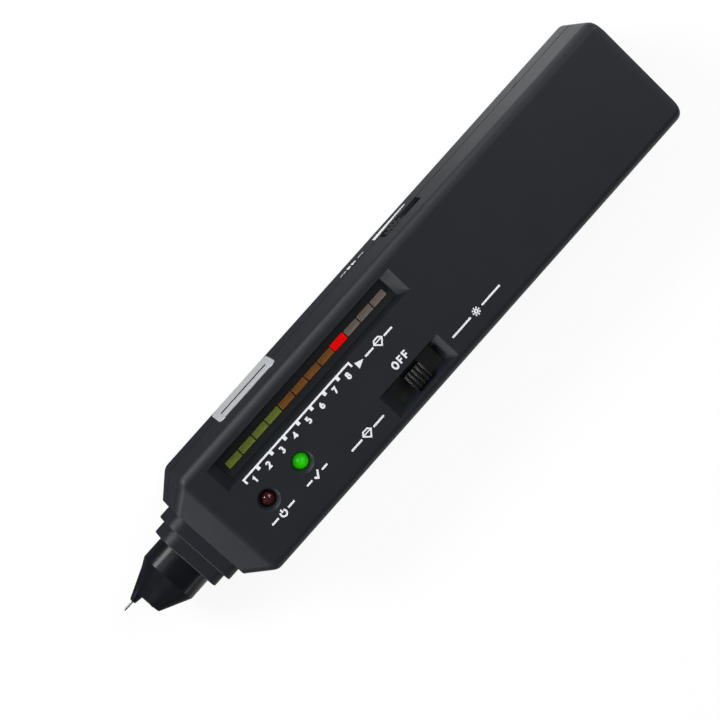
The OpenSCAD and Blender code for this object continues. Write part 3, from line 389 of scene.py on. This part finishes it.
# %% [markdown]
# ## Nozzle plastic
# The nozzle is black ABS from a polished tool: glossy, with the faint waves, some 3 mm long,
# that polishing leaves. It could have a clear coat over a dull base, but the real one has none,
# so one skin of low roughness does it. A clear highlight along it shows that it is round, not
# square.

# %% Polished black ABS
WAVE = 3 * MM
gloss, tree = new_material("black ABS, polished")
place = add(tree, "ShaderNodeTexCoord").outputs["Object"]
wave = add(tree, "ShaderNodeTexNoise", {
    "Vector": place, "Scale": 1 / WAVE, "Detail": 2.0,
}).outputs["Fac"]
colour = add(tree, "ShaderNodeMix", {
    "Factor": wave, "A": linear("#090b10"), "B": linear("#0d1016"),
}, data_type="RGBA").outputs["Result"]
rough = add(tree, "ShaderNodeMapRange", {
    "Value": wave, "To Min": 0.2, "To Max": 0.27,
}).outputs[0]
bumps = add(tree, "ShaderNodeBump", {
    "Height": wave, "Strength": 0.05, "Distance": 0.03 * MM,
}).outputs[0]
skin = add(tree, "ShaderNodeBsdfPrincipled", {
    "Base Color": colour, "Roughness": rough, "Normal": bumps,
    "IOR": PLASTIC_IOR, "Specular IOR Level": 0.3,
}).outputs[0]
add(tree, "ShaderNodeOutputMaterial", {"Surface": skin})
dress(gloss, "probe_nozzle")
print("nozzle:", gloss.name)

# %% [markdown]
# ## Metals
# Ground steel makes the needle and its spring, zinc plated steel the screws and the switch's
# frame, turned brass the probe's tube and plunger, and satin nickel covers the touch plates.
# Each has fine marks along the way it was worked. Drawn lines would look ruled, so a noise is
# stretched along one axis. Marks are about 0.1 mm wide, too fine to show, and drawn at 0.25 mm.
# A touch plate is folded in along its upper part, and the ledge of the fold, which looks up, is
# painted dark: painted shade, for the dark line that the crease shows.

# %% Metal with working marks
MARK = 0.25 * MM
STRETCH = 0.04
# painted shade: the colour given to the plate's up-facing ledge, for the crease's dark line
LEDGE_SHADE = "#2c2b29"


def worked_metal(name, pale, dark, low, high, along, fold=None):
    """A metal, low to high in roughness, with marks along one axis.

    A fold, at a height in mm, has its ledge painted dark: painted shade for the crease.
    """
    material, tree = new_material(name)
    place = add(tree, "ShaderNodeTexCoord").outputs["Object"]
    lines = add(tree, "ShaderNodeMapping", {
        "Vector": place, "Scale": [STRETCH if axis == along else 1.0 for axis in "XYZ"],
    }).outputs[0]
    marks = add(tree, "ShaderNodeTexNoise", {
        "Vector": lines, "Scale": 1 / MARK, "Detail": 3.0,
    }).outputs["Fac"]
    colour = add(tree, "ShaderNodeMix", {
        "Factor": marks, "A": linear(dark), "B": linear(pale),
    }, data_type="RGBA").outputs["Result"]
    rough = add(tree, "ShaderNodeMapRange", {
        "Value": marks, "To Min": low, "To Max": high,
    }).outputs[0]
    bumps = add(tree, "ShaderNodeBump", {
        "Height": marks, "Strength": 0.06, "Distance": 0.01 * MM,
    }).outputs[0]
    # painted shade: faces that look up, below the fold, turn dark
    if fold:
        normal = add(tree, "ShaderNodeNewGeometry").outputs["Normal"]
        tilt = add(tree, "ShaderNodeSeparateXYZ", {0: normal}).outputs["Z"]
        ledge = add(tree, "ShaderNodeMapRange", {
            "Value": tilt, "From Min": 0.3, "From Max": 0.6,
        }).outputs[0]
        height = add(tree, "ShaderNodeSeparateXYZ", {0: place}).outputs["Z"]
        below = add(tree, "ShaderNodeMath", {
            0: height, 1: (fold + 0.5) * MM,
        }, operation="LESS_THAN").outputs[0]
        ledge_shade = add(tree, "ShaderNodeMath", {0: ledge, 1: below}, operation="MULTIPLY").outputs[0]
        colour = add(tree, "ShaderNodeMix", {
            "Factor": ledge_shade, "A": colour, "B": linear(LEDGE_SHADE),
        }, data_type="RGBA").outputs["Result"]
    skin = add(tree, "ShaderNodeBsdfPrincipled", {
        "Base Color": colour, "Roughness": rough, "Normal": bumps, "Metallic": 1.0,
    }).outputs[0]
    add(tree, "ShaderNodeOutputMaterial", {"Surface": skin})
    return material


print("marks:", MARK / MM, "mm wide,", round(MARK / STRETCH / MM, 2), "mm long")

# %% Steel, brass and nickel
PLATE_FOLD = 10.45
steel = worked_metal("steel, ground", "#b9bbbe", "#8f9296", 0.22, 0.36, "X")
zinc = worked_metal("steel, zinc plated", "#c3c6ca", "#9ea2a8", 0.28, 0.42, "Z")
brass = worked_metal("brass, turned", "#d2ab57", "#a8853c", 0.2, 0.34, "Y")
nickel = worked_metal(
    "steel, satin nickel plated", "#e8eaec", "#d8dbde", 0.66, 0.78, "X", fold=PLATE_FOLD)
dress(steel, "probe_needle", "probe_spring")
dress(zinc, "case_screws", "board_screws", "switch_body")
dress(brass, "probe_guide", "probe_plunger")
dress(nickel, "touch_plate_left", "touch_plate_right")
print("metals:", [m.name for m in (steel, zinc, brass, nickel)])

# %% [markdown]
# ## Display segments
# Each segment is a bar of cast, slightly milky epoxy over a small lamp. Unlit bars keep a dull
# tint of their colour: olive for green, brown for amber, grey-beige for red. Glass would be too
# clear and paint too flat, so a little light scatters under the skin. Cast epoxy is mottled by
# the chip and the wires below it, at about 0.8 mm, and its refractive index is 1.55.

# %% Unlit bars
MOTTLE = 0.8 * MM
EPOXY_IOR = 1.55


def cast_bar(name, pale, dark):
    """Milky epoxy of one colour, unlit."""
    material, tree = new_material(name)
    place = add(tree, "ShaderNodeTexCoord").outputs["Object"]
    cloud = add(tree, "ShaderNodeTexNoise", {
        "Vector": place, "Scale": 1 / MOTTLE, "Detail": 2.0,
    }).outputs["Fac"]
    colour = add(tree, "ShaderNodeMix", {
        "Factor": cloud, "A": linear(dark), "B": linear(pale),
    }, data_type="RGBA").outputs["Result"]
    skin = add(tree, "ShaderNodeBsdfPrincipled", {
        "Base Color": colour, "Roughness": 0.32, "IOR": EPOXY_IOR, "Subsurface Weight": 0.25,
        "Subsurface Radius": (0.4, 0.4, 0.3), "Subsurface Scale": 1.0 * MM,
    }).outputs[0]
    add(tree, "ShaderNodeOutputMaterial", {"Surface": skin})
    return material


dress(cast_bar("epoxy, cast olive", "#839533", "#66742a"), "segments_green")
dress(cast_bar("epoxy, cast amber", "#98601e", "#714515"), "segments_amber")
dress(cast_bar("epoxy, cast milky", "#8c8277", "#6c635a"), "segments_red")
print("bars mottled at", MOTTLE / MM, "mm")

# %% [markdown]
# One bar is lit. A lamp could stand behind it, but the glow has to look the same from every
# side, so the skin itself gives off light, a little unevenly. It is so strong that the bar's own
# colour hardly matters.

# %% Lit bar
lit, tree = new_material("epoxy, cast red, lit")
place = add(tree, "ShaderNodeTexCoord").outputs["Object"]
cloud = add(tree, "ShaderNodeTexNoise", {
    "Vector": place, "Scale": 1 / MOTTLE, "Detail": 1.0,
}).outputs["Fac"]
power = add(tree, "ShaderNodeMapRange", {
    "Value": cloud, "To Min": 0.8, "To Max": 1.1,
}).outputs[0]
skin = add(tree, "ShaderNodeBsdfPrincipled", {
    "Base Color": linear("#1c0000"), "Roughness": 0.5, "Specular IOR Level": 0.1,
    "Emission Color": linear("#da0200"), "Emission Strength": power,
}).outputs[0]
add(tree, "ShaderNodeOutputMaterial", {"Surface": skin})
dress(lit, "segment_lit")
print("lit bar:", lit.name)

# %% [markdown]
# ## Mouldings
# The bezel, the switch knob, the thumbwheel and the plain parts inside are moulded. Each could
# have its material written out, but they differ only in colour, roughness and size of patch, so
# one function makes them all. A slow change of tone also moves the roughness. The bezel is dull
# so that the segments stand out, the knob is satin from use, and the wheel has a soft grip.

# %% Moulded plastic


def moulding(name, pale, dark, low, high, patch, shine=0.5):
    """A moulded plastic, low to high in roughness, with patches of tone; patch in mm."""
    material, tree = new_material(name)
    place = add(tree, "ShaderNodeTexCoord").outputs["Object"]
    cloud = add(tree, "ShaderNodeTexNoise", {
        "Vector": place, "Scale": 1 / (patch * MM), "Detail": 3.0,
    }).outputs["Fac"]
    colour = add(tree, "ShaderNodeMix", {
        "Factor": cloud, "A": linear(dark), "B": linear(pale),
    }, data_type="RGBA").outputs["Result"]
    rough = add(tree, "ShaderNodeMapRange", {
        "Value": cloud, "To Min": low, "To Max": high,
    }).outputs[0]
    bumps = add(tree, "ShaderNodeBump", {
        "Height": cloud, "Strength": 0.08, "Distance": 0.02 * MM,
    }).outputs[0]
    skin = add(tree, "ShaderNodeBsdfPrincipled", {
        "Base Color": colour, "Roughness": rough, "Normal": bumps,
        "IOR": PLASTIC_IOR, "Specular IOR Level": shine,
    }).outputs[0]
    add(tree, "ShaderNodeOutputMaterial", {"Surface": skin})
    return material


bezel = moulding("black ABS, moulded dull", "#191b1d", "#131517", 0.6, 0.75, 0.6, shine=0.25)
knob = moulding("black nylon, moulded satin", "#1a1b1d", "#111213", 0.26, 0.36, 0.5)
wheel = moulding("black ABS, soft-touch coated", "#202123", "#161718", 0.5, 0.65, 0.5)
dress(bezel, "display_bezel")
dress(knob, "switch_knob")
dress(wheel, "thumbwheel")
print("mouldings outside:", [m.name for m in (bezel, knob, wheel)])

# %% [markdown]
# Most parts inside stay hidden, and the battery shows when its door is off. All of them have a
# finish, so that the case can be opened up. Most share one of two pairs of roughness: a plain
# matt skin, and the faint sheen of an extruded wire.

# %% Parts inside
MATT = (0.4, 0.55, 1.0)  # roughness from and to, patch in mm
SHEEN = (0.35, 0.5, 1.0)
dress(moulding("grey nylon, moulded", "#41444a", "#33363b", *MATT), "potentiometer")
dress(moulding("white nylon, moulded", "#dedbd0", "#cfcabd", *MATT), "guide_plug")
dress(moulding("black PVC, moulded", "#1b1c1e", "#121314", *MATT),
      "battery_snap", "buzzer", "driver_chips")
dress(moulding("red PVC, extruded", "#b8201c", "#971512", *SHEEN), "battery_lead_red")
dress(moulding("black PVC, extruded", "#1a1a1a", "#101010", *SHEEN), "battery_lead_black")
dress(moulding("grey PVC, extruded", "#cfcfcb", "#b7b7b3", *SHEEN), "probe_leads", "plate_leads")
dress(moulding("violet PVC, extruded", "#654ba8", "#4c3590", *SHEEN), "uv_leads")
dress(moulding("blue PVC sleeve, shrunk", "#2b3556", "#20294a", 0.25, 0.4, 1.5), "capacitors")
dress(moulding("glass laminate, green mask", "#216a3d", "#17512d", 0.25, 0.4, 4.0), "main_board")
dress(moulding("tinned can, painted grey", "#8d9196", "#7b7f84", 0.3, 0.45, 6.0), "battery")
print("finishes so far:", len(bpy.data.materials))

# %% [markdown]
# ## Lamps
# The lamps are cast epoxy with a domed end. The unlit one is clear red: light goes in, meets the
# dark hole, and little comes back. A dark red paint could give that colour, but not the depth,
# so the material lets light through. The clear lamp in the nozzle is cast the same way. The
# mould leaves the skin of both faintly uneven.

# %% Clear lamps


def cast_lens(name, tint, through):
    """Clear cast epoxy, which lets a share of the light through."""
    material, tree = new_material(name)
    place = add(tree, "ShaderNodeTexCoord").outputs["Object"]
    cloud = add(tree, "ShaderNodeTexNoise", {
        "Vector": place, "Scale": 1 / MOTTLE, "Detail": 2.0,
    }).outputs["Fac"]
    rough = add(tree, "ShaderNodeMapRange", {
        "Value": cloud, "To Min": 0.03, "To Max": 0.09,
    }).outputs[0]
    skin = add(tree, "ShaderNodeBsdfPrincipled", {
        "Base Color": linear(tint), "Roughness": rough, "IOR": EPOXY_IOR,
        "Transmission Weight": through,
    }).outputs[0]
    add(tree, "ShaderNodeOutputMaterial", {"Surface": skin})
    return material


dress(cast_lens("epoxy, cast clear red", "#843538", 0.82), "power_lamp")
dress(cast_lens("epoxy, cast clear", "#e6e2f4", 0.9), "uv_lamp")
print("clear lamps dressed")

# %% [markdown]
# The lit lamp shines by itself, strongest on its axis, because the chip sits in the middle. An
# even glow would look like a flat disc, so the strength falls with the distance from the axis,
# which the shader measures.

# %% Lit lamp
low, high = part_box("ready_lamp")
axis = ((low[0] + high[0]) / 2, (low[1] + high[1]) / 2, 0)
radius = (high[1] - low[1]) / 2
green, tree = new_material("epoxy, cast green, lit")
place = add(tree, "ShaderNodeTexCoord").outputs["Object"]
flat = add(tree, "ShaderNodeVectorMath", {
    0: place, 1: (1, 1, 0),
}, operation="MULTIPLY").outputs[0]
away = add(tree, "ShaderNodeVectorMath", {
    0: flat, 1: axis,
}, operation="DISTANCE").outputs["Value"]
shine = add(tree, "ShaderNodeMapRange", {
    "Value": away, "From Max": radius, "To Min": 1.05, "To Max": 0.35,
}).outputs[0]
skin = add(tree, "ShaderNodeBsdfPrincipled", {
    "Base Color": linear("#0b4006"), "Roughness": 0.36, "Specular IOR Level": 0.2,
    "Emission Color": linear("#24c200"), "Emission Strength": shine,
}).outputs[0]
add(tree, "ShaderNodeOutputMaterial", {"Surface": skin})
dress(green, "ready_lamp")
print("lit lamp: radius", round(radius / MM, 2), "mm")

# %% [markdown]
# Inside the clear red lamp stand the two flat metal blades of its lead frame, one with the chip,
# one with the wire. Through the clear dome the eye looks for them, so they are made: thin
# blocks, a little below the dome, with sizes in millimetres.

# %% Lead frame in the unlit lamp
BLADE_HALF = 0.2
BLADE_FOOT = 6.0


def keep(name, made, material):
    """Turns a bmesh into a piece that rides on the case."""
    mesh = bpy.data.meshes.new(name)
    made.to_mesh(mesh)
    made.free()
    mesh.materials.append(material)
    piece = bpy.data.objects.new(name, mesh)
    scene.collection.objects.link(piece)
    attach(piece, "case")
    return piece


low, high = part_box("power_lamp")
x, y, top = (low[0] + high[0]) / 2 / MM, (low[1] + high[1]) / 2 / MM, high[2] / MM
made = bmesh.new()
for left, right, depth in ((-0.9, -0.15, 2.0), (0.2, 0.7, 2.3)):
    near = (x + left, y - BLADE_HALF, top - BLADE_FOOT)
    far = (x + right, y + BLADE_HALF, top - depth)
    for vert in bmesh.ops.create_cube(made, size=1.0)["verts"]:
        vert.co = [(a + b) / 2 + c * (b - a) for a, b, c in zip(near, far, vert.co)]
made.transform(Matrix.Scale(MM, 4))
keep("lamp_lead_frame", made, zinc)
print("lead frame at", round(x, 1), round(y, 1), "mm")

# %% [markdown]
# ## Printed marks
# The marks on the face are screen printed: a squeegee pushes white ink through a mesh, and a
# film of a few hundredths of a millimetre stays on the plastic. They could be a pattern in the
# case's material, but a film of its own keeps sharp edges at any size. Numbers count the scale,
# a small arrow points on, the switch shows OFF in its middle, and small signs stand for power,
# ready, stone, ultraviolet and loudness. The ink is matt. The specks that the mesh leaves are
# about 0.1 mm, too fine to show, and drawn at 0.3 mm.

# %% White ink
SPECK = 0.3 * MM
white, tree = new_material("white ink, screen printed")
place = add(tree, "ShaderNodeTexCoord").outputs["Object"]
speck = add(tree, "ShaderNodeTexNoise", {
    "Vector": place, "Scale": 1 / SPECK, "Detail": 2.0,
}).outputs["Fac"]
colour = add(tree, "ShaderNodeMix", {
    "Factor": speck, "A": linear("#e4e6e8"), "B": linear("#f2f3f4"),
}, data_type="RGBA").outputs["Result"]
bumps = add(tree, "ShaderNodeBump", {
    "Height": speck, "Strength": 0.1, "Distance": 0.01 * MM,
}).outputs[0]
skin = add(tree, "ShaderNodeBsdfPrincipled", {
    "Base Color": colour, "Roughness": 0.5, "IOR": PLASTIC_IOR, "Normal": bumps,
}).outputs[0]
add(tree, "ShaderNodeOutputMaterial", {"Surface": skin})
print("ink:", white.name)

# %% [markdown]
# A mark is drawn flat, in millimetres, and then set on the front face or on the thumbwheel side.
# Strokes that cross would share a surface and flicker, so one of them goes in a second layer
# that lies a little higher.

# %% Film of ink
INK = 0.02
face_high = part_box("front_shell")[1]
ON_FACE = Matrix.Translation((0, 0, face_high[2]))
ON_SIDE = Matrix(((-1, 0, 0, 0), (0, 0, 1, face_high[1]), (0, 1, 0, 0), (0, 0, 0, 1)))


def printed(name, *layers, surface=ON_FACE):
    """A film of ink from flat outlines in mm, which run counter-clockwise."""
    made = bmesh.new()
    for level, shapes in enumerate(layers):
        top = INK * (1 + level / 4)
        for shape in shapes:
            low = [made.verts.new((x * MM, y * MM, -INK / 2 * MM)) for x, y in shape]
            high = [made.verts.new((x * MM, y * MM, top * MM)) for x, y in shape]
            made.faces.new(high)
            made.faces.new(low[::-1])
            for i in range(len(shape)):
                made.faces.new((low[i - 1], low[i], high[i], high[i - 1]))
    made.transform(surface)
    keep(name, made, white)


print("ink film", INK, "mm on the face at", round(face_high[2] / MM, 2), "mm")

# %% [markdown]
# Lines could be curves with a round profile, but ink is flat. So a path becomes quads of the
# pen's width, which meet in a mitre at each corner. A limit keeps the mitre of a sharp corner
# short.

# %% Pen strokes
SHARPEST = 0.4


def stroke(path, width, closed=False):
    """Quads along a path, mitred at its corners."""
    points = [Vector(p) for p in path]
    count = len(points)
    rows = []
    for i, p in enumerate(points):
        ahead = points[(i + 1) % count] - p if closed or i < count - 1 else p - points[i - 1]
        back = p - points[i - 1] if closed or i else ahead
        ahead, back = ahead.normalized(), back.normalized()
        out = Vector((-ahead.y - back.y, ahead.x + back.x)).normalized()
        reach = width / 2 / max(SHARPEST, out.dot(Vector((-ahead.y, ahead.x))))
        rows.append((p + out * reach, p - out * reach))
    pairs = [(i, (i + 1) % count) for i in range(count if closed else count - 1)]
    return [(rows[b][0], rows[a][0], rows[a][1], rows[b][1]) for a, b in pairs]


def arc(x, y, radius, start, end, steps):
    """Points of an arc; angles in degrees."""
    turns = [math.radians(start + (end - start) * i / steps) for i in range(steps + 1)]
    return [(x + radius * math.cos(t), y + radius * math.sin(t)) for t in turns]


def at(x, y, shapes):
    """Shapes moved to a place."""
    return [[(p[0] + x, p[1] + y) for p in shape] for shape in shapes]


print("a bent stroke has", len(stroke([(0, 0), (1, 0), (1, 1)], 0.2)), "quads")

# %% [markdown]
# The scale is a line with short ticks between the numbers, closed by a longer tick at each end.
# It starts below the first segment and ends where the lit one stands, where the arrow takes
# over. All places along it follow from one pitch, so that ticks and numbers stay in step.

# %% Scale and arrow
PITCH = 4.68
START = -47.7
END = START + 8 * PITCH
LINE_LOW, LINE_HIGH = 4.6, 5.1
END_LOW, END_WIDE = 3.55, 0.5
TICK_LOW, TICK_HALF = 3.7, 0.45
line = [
    rectangle(START, END, LINE_LOW, LINE_HIGH),
    rectangle(START, START + END_WIDE, END_LOW, LINE_LOW),
    rectangle(END - END_WIDE, END, END_LOW, LINE_LOW),
]
for i in range(1, 8):
    x = START + i * PITCH
    line.append(rectangle(x - TICK_HALF, x + TICK_HALF, TICK_LOW, LINE_LOW))
printed("print_scale", line)
printed("print_arrow", [[(-9.6, 1.85), (-7.3, 2.8), (-9.6, 3.75)]])
print("scale from", START, "to", round(END, 2), "mm")

# %% [markdown]
# A font's figures could be turned into meshes, but they have many points. Here each number is
# drawn with a thick pen round its own middle, from straight strokes and arcs. The second path of
# a number lies over the first.

# %% Numbers 1 to 8
THICK = 0.46
NUMBER_Y = 2.79
IN_GAP = 0.48  # share of the pitch, just before the middle between two ticks
numbers = [
    [[(-0.32, 0.4), (0.08, 0.72), (0.08, -0.72)]],
    [arc(0, 0.32, 0.4, 165, -40, 10) + [(-0.42, -0.72), (0.44, -0.72)]],
    [arc(-0.03, 0.36, 0.36, 150, -90, 10), arc(-0.03, -0.34, 0.38, 90, -150, 10)],
    [[(0.16, -0.72), (0.16, 0.85)], [(0.2, 0.62), (-0.42, -0.25), (0.5, -0.25)]],
    [[(0.36, 0.72), (-0.28, 0.72), (-0.33, 0.03)], arc(-0.03, -0.27, 0.43, 135, -150, 12)],
    [arc(0, -0.3, 0.41, 0, 360, 14), [(-0.41, -0.3), (-0.33, 0.15), (0.18, 0.72)]],
    [[(-0.42, 0.72), (0.42, 0.72), (-0.1, -0.72)]],
    [arc(0, 0.38, 0.33, 0, 360, 12), arc(0, -0.33, 0.4, 0, 360, 14)],
]
first, second = [], []
for i, paths in enumerate(numbers):
    for layer, path in zip((first, second), paths):
        layer += at(START + (i + IN_GAP) * PITCH, NUMBER_Y, stroke(path, THICK))
printed("print_numbers", first, second)
print("numbers:", len(numbers))

# %% [markdown]
# The switch's middle position is marked OFF, with the same pen. The round letter is one closed
# stroke, and the short arms of the other two lie over their stems.

# %% OFF
OFF_Y = -4.1
CAP_HALF = 0.875
O_HALF = 0.62
turns = [math.tau * i / 20 for i in range(20)]
oval = [(O_HALF * math.cos(t), CAP_HALF * math.sin(t)) for t in turns]
letters = at(-3.34, OFF_Y, stroke(oval, THICK, closed=True))
arms = []
for x in (-1.4, 0.3):
    stem = [(-0.45, -CAP_HALF), (-0.45, CAP_HALF), (0.55, CAP_HALF)]
    letters += at(x, OFF_Y, stroke(stem, THICK))
    arms += at(x, OFF_Y, stroke([(-0.45, 0.03), (0.4, 0.03)], THICK))
printed("print_off", letters, arms)
print("letters", 2 * CAP_HALF + THICK, "mm high")

# %% [markdown]
# Signs are drawn with one pen, so that they belong together: an open circle with a bar for
# power, a tick for ready, a cut stone, a burst of rays for ultraviolet, and a horn for loudness.
# Plain outlines can be read at two millimetres, where fine detail can't.

# %% Outlines of the signs
PEN = 0.46
power_sign = stroke(arc(0, -0.1, 0.8, 130, 410, 16), PEN)
power_sign += [rectangle(-PEN / 2, PEN / 2, 0.1, 1.05)]
ready_sign = stroke([(-0.95, 0.05), (-0.3, -0.7), (0.95, 0.85)], PEN * 1.15)
gem = [(-1.35, 0.25), (-0.7, 1.0), (0.7, 1.0), (1.35, 0.25), (0, -1.2)]
stone_sign = stroke(gem[::-1], PEN * 0.85, closed=True)
girdle = [rectangle(-1.0, 1.0, 0.1, 0.42)]
burst_sign = stroke(arc(0, 0, 0.42, 0, 330, 11), PEN * 0.9, closed=True)
for angle in range(0, 360, 45):
    ray = [arc(0, 0, radius, angle, angle, 1)[0] for radius in (0.72, 1.12)]
    burst_sign += stroke(ray, PEN * 0.85)
horn = [(-1.0, -0.4), (-0.55, -0.4), (0.05, -0.95), (0.05, 0.95), (-0.55, 0.4), (-1.0, 0.4)]
horn_sign = [horn]
for radius in (0.55, 1.05):
    horn_sign += stroke(arc(0.05, 0, radius, -45, 45, 8), PEN)
print("signs drawn with a pen of", PEN, "mm")

# %% [markdown]
# Each sign sits between two short rules, which mark out the place it names. Those on the face
# lie in rows beside the lamps, the scale and the switch. The horn is on the thumbwheel side, and
# a wedge beside it grows with the loudness.

# %% Signs between their rules
RULE_HALF = 0.25
LAMP_ROW, SWITCH_ROW, SCALE_ROW, SIDE_ROW = -7.6, -10.1, 2.8, 7.2
HORN_SCALE = 1.3


def sign(name, shapes, x0, x1, y, gap, over=(), surface=ON_FACE):
    """A sign between two rules that reach from x0 to x1; over is its second layer."""
    middle = (x0 + x1) / 2
    rules = [
        rectangle(x0, middle - gap, y - RULE_HALF, y + RULE_HALF),
        rectangle(middle + gap, x1, y - RULE_HALF, y + RULE_HALF),
    ]
    printed(name, at(middle, y, shapes) + rules, at(middle, y, over), surface=surface)


sign("print_power_sign", power_sign, -50.8, -43.0, LAMP_ROW, gap=1.7)
sign("print_ready_sign", ready_sign, -38.5, -31.4, LAMP_ROW, gap=1.7)
sign("print_stone_scale", stone_sign, -6.6, 2.8, SCALE_ROW, gap=1.9, over=girdle)
sign("print_stone_switch", stone_sign, -25.3, -13.9, SWITCH_ROW, gap=2.0, over=girdle)
sign("print_burst_switch", burst_sign, 10.85, 27.8, SWITCH_ROW, gap=2.0)
large_horn = [[(x * HORN_SCALE, y * HORN_SCALE) for x, y in shape] for shape in horn_sign]
sign("print_horn_side", large_horn, -13.1, -4.7, SIDE_ROW, gap=2.2, surface=ON_SIDE)
wedge = [(-28.6, 5.35), (-16.9, 5.35), (-16.9, 8.2), (-28.6, 6.2)]
printed("print_loudness_wedge", [wedge], surface=ON_SIDE)

# %% [markdown]
# ## Case screws
# Four screws close the case from the back. A pan head with a cross recess is cold formed: a
# punch strikes the rounded head and the cross in one blow. A boolean could cut the cross, but it
# leaves an untidy mesh. So the head is a stack of circles, with a radius and a depth each, the
# outline of the cross is left out of its flat, and the walls of the cross lean inwards to a
# smaller one.

# %% Outlines of a screw
HEAD = 2.0
SHANK = 1.2
PROFILE = [
    (1.45, 0), (1.75, 0.12), (1.95, 0.4), (HEAD, 0.75), (HEAD, 1.5), (SHANK, 1.5), (SHANK, 10.0),
]


def circle(radius, count=36):
    """Points of a circle."""
    turns = [math.tau * i / count for i in range(count)]
    return [(radius * math.cos(t), radius * math.sin(t)) for t in turns]


def cross(reach, half):
    """A plus outline, from four turns of one arm."""
    arm = [(reach, -half), (reach, half), (half, half)]
    quarters = ((1, 0), (0, 1), (-1, 0), (0, -1))
    return [(x * a - y * b, x * b + y * a) for a, b in quarters for x, y in arm]


def skirt(made, upper, lower):
    """Quads between two loops of corners."""
    for i in range(len(upper)):
        made.faces.new((upper[i - 1], upper[i], lower[i], lower[i - 1]))


print("screw head:", 2 * HEAD, "mm across, cross of", len(cross(1, 0.2)), "corners")

# %% Cross-recess screws
SCREW_Y = 11.7
MOUTH = (1.1, 0.26)  # reach of the cross and half the width of an arm
BOTTOM = (0.75, 0.16)
RECESS = 0.7
low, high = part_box("case_screws")
top = low[2] / MM
spots = [(x, y) for x in (low[0] / MM + HEAD, high[0] / MM - HEAD) for y in (-SCREW_Y, SCREW_Y)]
made = bmesh.new()
for x, y in spots:
    outlines = [(circle(radius), depth) for radius, depth in PROFILE]
    outlines += [(cross(*MOUTH), 0), (cross(*BOTTOM), RECESS)]
    *loops, mouth, bottom = [
        [made.verts.new((x + a, y + b, top + depth)) for a, b in outline]
        for outline, depth in outlines
    ]
    for upper, lower in zip(loops, loops[1:]):
        skirt(made, upper, lower)
    made.faces.new(loops[-1][::-1])
    skirt(made, bottom, mouth)
    made.faces.new(bottom)
    rim = []
    for loop in (loops[0], mouth):
        for pair in zip(loop[-1:] + loop, loop):
            rim.append(made.edges.get(pair) or made.edges.new(pair))
    bmesh.ops.triangle_fill(made, use_beauty=True, edges=rim)
bmesh.ops.recalc_face_normals(made, faces=made.faces)
made.transform(Matrix.Scale(MM, 4))
screws = keep("case_screws_cross", made, zinc)
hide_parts("case_screws")
print("screws at", [(round(x, 1), round(y, 1)) for x, y in spots])

# %% [markdown]
# ## Probe spring
# The needle gives way by 2 mm when it is pressed, and the spring behind it gets that much
# shorter. A CAD node can't change its shape, so a copy of the coil takes its place, with a mesh
# of its own, and rides on the case. The copy keeps the coil's full length.

# %% A copy of the coil
low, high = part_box("probe_spring")
coil = bpy.data.objects.new("probe_spring_coil", nodes["probe_spring"].data.copy())
coil.matrix_world = nodes["probe_spring"].matrix_world
scene.collection.objects.link(coil)
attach(coil, "case")
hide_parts("probe_spring")
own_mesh(coil)

# %% [markdown]
# ## Size and finish
# The dressed tester should be as large as the bare frame, apart from the films of ink. Both
# boxes are printed, so that they can be compared.

# %% Sizes
low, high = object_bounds()
print("dressed:", [round((b - a) / MM, 2) for a, b in zip(low, high)], "mm")
